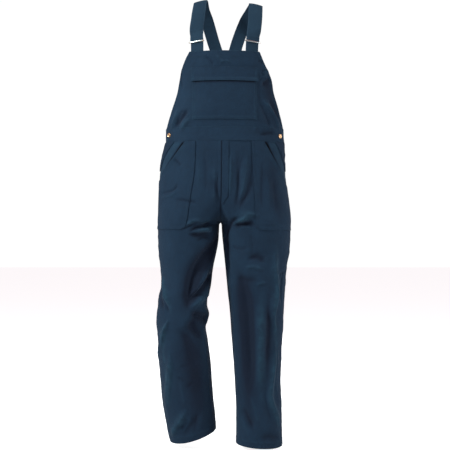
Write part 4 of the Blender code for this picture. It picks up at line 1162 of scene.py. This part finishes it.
def strap_pieces(side):
    buckle = line_length("f", BUCKLE_DROP)
    crossing = line_length("b", CROSSING)
    top = STRAP_CLOTH + 2 * SEAM_GAP if side == "left" else 0.0
    lifts = (
        (crossing - CROSSING_FLAT - CROSSING_RAMP, 0.0), (crossing - CROSSING_FLAT, top),
        (crossing + CROSSING_FLAT, top), (crossing + CROSSING_FLAT + CROSSING_RAMP, 0.0),
    )
    strap_piece(f"strap_{side}", side, buckle - 1.0, LINE[-1][0], lifts)
    tab_end = buckle + TAB_PAST_BUCKLE
    lifts = ((0.0, -CLOTH - PATCH_GAP - STRAP_CLOTH), (tab_end, -SEAM_GAP - STRAP_CLOTH))
    strap_piece(f"strap_tab_{side}", side, 4.0, tab_end, lifts)


# ---- metal
def sweep(path, ups, wide, tall, closed, sides):
    """Points and faces of a wire along a path, with its own half width and half height at each point."""
    ahead = np.roll(path, -1, axis=0) - np.roll(path, 1, axis=0)
    if not closed:
        ahead[0], ahead[-1] = path[1] - path[0], path[-1] - path[-2]
    aside = unit(np.cross(ahead, ups))
    angle = np.linspace(0, 2 * math.pi, sides, endpoint=False)
    ring = path[:, None] + aside[:, None] * (np.cos(angle) * wide[:, None])[..., None]
    ring = ring + ups[:, None] * (np.sin(angle) * tall[:, None])[..., None]
    index = np.arange(len(path) * sides).reshape(-1, sides)
    before, after = (index, np.roll(index, -1, axis=0)) if closed else (index[:-1], index[1:])
    faces = np.stack([before, np.roll(before, -1, 1), np.roll(after, -1, 1), after], -1)
    faces = faces.reshape(-1, 4).tolist()
    if not closed:
        faces += [index[0, ::-1].tolist(), index[-1].tolist()]
    return ring.reshape(-1, 3), faces


SLIDE_REACH = 1.9  # from the strap's edges to the middle of the slide's ends
SLIDE_FRONT, SLIDE_BACK = 2.1, 2.7  # from the cloth to the middle of its bars
SLIDE_CORNER = 2.5
TIP_SIZE = 1.9


def buckle_piece(side):
    """A wire slide: a flattened front bar across the strap, a back bar behind it, and small round tips."""
    length = np.array(line_length("f", BUCKLE_DROP))
    middle = float(along_strap(STRAP_PATHS[side], length))
    half = STRAP_WIDTH / 2 + SLIDE_REACH
    front, back = STRAP_CLOTH + SLIDE_FRONT, -2 * STRAP_CLOTH - SLIDE_BACK
    outline = []
    for cx, cy, first in ((half, front, 0), (-half, front, 90), (-half, back, 180), (half, back, 270)):
        px, py = cx - math.copysign(SLIDE_CORNER, cx), cy - math.copysign(SLIDE_CORNER, cy)
        for angle in np.radians(range(first, first + 91, 10)):
            outline.append((px + SLIDE_CORNER * math.cos(angle), py + SLIDE_CORNER * math.sin(angle)))
        if first in (0, 180):
            outline.extend((px * share, cy) for share in np.linspace(0.92, -0.92, 24))
    tilt = math.radians(BUCKLE_TILT)

    def place(across, out):
        base = shoulder_surface(length, np.array(middle + across))
        aside = shoulder_surface(length, np.array(middle + across + 1.0)) - base
        spot = base + np.cross(aside / np.linalg.norm(aside), (0.0, 0.0, 1.0)) * out
        spot[2] -= SIDES[side] * across * math.tan(tilt)
        return spot

    path = np.array([place(*p) for p in outline])
    ups = unit(np.repeat([[math.sin(tilt) * SIDES[side], 0.0, 1.0]], len(path), axis=0))
    on_front = ease((np.array(outline)[:, 1] - front + 2.5) / 2.5)
    points, faces = sweep(path, ups, 1.3 - 0.2 * on_front, 1.45 + 1.1 * on_front, True, 14)
    wire_faces = len(faces)
    for end in (-1, 1):
        reach = np.linspace(half - 2.0, half + 1.4, 9)
        bar = np.array([place(end * r, front) for r in reach])
        size = TIP_SIZE * np.sqrt(np.clip(1 - ((reach - half) / 1.6) ** 2, 0.05, 1.0))
        more, more_faces = sweep(bar, ups[:9], size * 0.8, size, False, 12)
        faces += [[i + len(points) for i in face] for face in more_faces]
        points = np.concatenate([points, more])
    item = add_mesh(f"wire_buckle_{side}", points, faces, NICKEL, COPPER)
    for face in list(item.data.polygons)[wire_faces:]:
        face.material_index = 1
    stand_for(item, f"buckle_{side}")


# radius and height, from the dimple in the middle out over the rolled rim to the back
BUTTON_PROFILE = table("""
    0 2.3 | 0.7 2.35 | 1 3 | 1.6 3.3 | 2.3 3.05 | 2.7 2.35 | 3.4 2.1 | 4.6 2.2 | 5.3 2.6 | 6 2.95
    6.8 2.85 | 7.35 2.35 | 7.5 1.7 | 7.3 1.1 | 6.6 0.8 | 5 0.7 | 3.2 0.6 | 3 0 | 0 0
""")
BUTTON_STEPS = 40


def button_piece(side):
    angle = 2 * math.pi * np.arange(BUTTON_STEPS) / BUTTON_STEPS
    radius, height = np.array(BUTTON_PROFILE).T[:, :, None]
    points = np.stack([radius * np.cos(angle), radius * np.sin(angle), height + 0 * angle], -1).reshape(-1, 3)
    index = np.arange(len(points)).reshape(-1, BUTTON_STEPS)
    before, after = index[:-1], index[1:]
    faces = np.stack([before, after, np.roll(after, -1, 1), np.roll(before, -1, 1)], -1).reshape(-1, 4)
    item = add_mesh(f"metal_button_{side}", points, faces.tolist(), COPPER)
    turn, height = BUTTON_PLACES[side]
    turn = -math.radians(turn) if side == "left" else -math.pi + math.radians(turn)
    place, normal, _ = finished("body", np.array([[turn]]), np.array([[height]]))
    lift = BAND_CLOTH - CLOTH + SEAM_GAP + BUTTON_RADIUS * BUTTON_LEAN * 0.8
    item.location = Vector((place[0, 0] + normal[0, 0] * lift) * MM)
    axis = Vector(normal[0, 0] * (1 - BUTTON_LEAN)) + Vector((0.0, -BUTTON_LEAN, 0.0))
    item.rotation_mode = "QUATERNION"
    item.rotation_quaternion = axis.to_track_quat("Z", "Y")
    stand_for(item, f"button_{side}")


# ---- making the garment
for side_name in SIDES:
    leg_piece(side_name, "front")
    leg_piece(side_name, "back")
    hip_pocket_piece(side_name)
    placket_piece(side_name)
    strap_pieces(side_name)
    buckle_piece(side_name)
    button_piece(side_name)
bib_piece()
bib_patch("bib_pocket", BIB_POCKET, PATCH_GAP)
bib_patch("bib_pocket_flap", FLAP, 2 * PATCH_GAP + PATCH_CLOTH + 1.7)
waistband_piece("front")
waistband_piece("back")
fly_piece()

# ---- stage, light and camera, in metres
FLOOR_DROP = 0.012
FLOOR_SIZE = 30.0
EYE_HEIGHT = -0.784
EYE_DISTANCE = 3.5
WHITE = (1, 1, 1, 1)
COOL = (0.83, 1.04, 1.03)
LIGHTS = (  # name, place, size, power and colour; each faces the middle of the garment
    ("key", (-2.8, -1.9, 0.9), 0.9, 114, COOL),
    ("fill", (3.3, -1.0, 0.0), 1.2, 52, COOL),
    ("top", (0.0, -1.1, 2.4), 1.3, 28, COOL),
    ("back", (0.6, 3.2, 0.4), 2.2, 60, WHITE[:3]),
)
SHADE_COLOUR, SHADE_STRENGTH = (1.45, 0.9, 1.08, 1), 0.11  # what the world sheds on the cloth
SEEN_STRENGTH = 1.02  # how white the world looks behind it

bpy.ops.mesh.primitive_plane_add(size=FLOOR_SIZE, location=(0, 0, cad_box[0][2] - FLOOR_DROP))
floor = bpy.context.object
floor.name = "floor"
n = Nodes(bpy.data.materials.new("pale_floor"))
glow = n.math("MULTIPLY", n.add("LightPath")["Is Camera Ray"], 0.85)
floor.data.materials.append(n.surface({
    "Base Color": (0.8, 0.8, 0.8, 1), "Roughness": 0.9, "Emission Color": WHITE, "Emission Strength": glow,
}))

for name, place, size, power, colour in LIGHTS:
    light = bpy.data.lights.new(name, "AREA")
    light.shape = "DISK"
    light.size = size
    light.energy = power
    light.color = colour
    lamp = bpy.data.objects.new(name, light)
    lamp.location = place
    lamp.rotation_mode = "QUATERNION"
    lamp.rotation_quaternion = (Vector((0, 0, EYE_HEIGHT)) - Vector(place)).to_track_quat("-Z", "Y")
    bpy.context.scene.collection.objects.link(lamp)

n = Nodes(bpy.data.worlds.new("studio"))
bpy.context.scene.world = n.block
shade = n.feed(n.tree.nodes["Background"], {"Color": SHADE_COLOUR, "Strength": SHADE_STRENGTH})
seen = n.add("Background", {"Color": WHITE, "Strength": SEEN_STRENGTH})
either = n.add("MixShader", {0: n.add("LightPath")["Is Camera Ray"], 1: shade[0], 2: seen[0]})
n.feed(n.tree.nodes["World Output"], {"Surface": either[0]})

camera = bpy.data.cameras.new("camera")
camera.lens = 80
camera.sensor_width = 36
camera.shift_x = 0.5 / 450
eye = bpy.data.objects.new("camera", camera)
eye.location = (0, -EYE_DISTANCE, EYE_HEIGHT)
eye.rotation_euler = (math.pi / 2, 0, 0)
bpy.context.scene.collection.objects.link(eye)
bpy.context.scene.camera = eye
bpy.context.scene.view_settings.view_transform = "Standard"
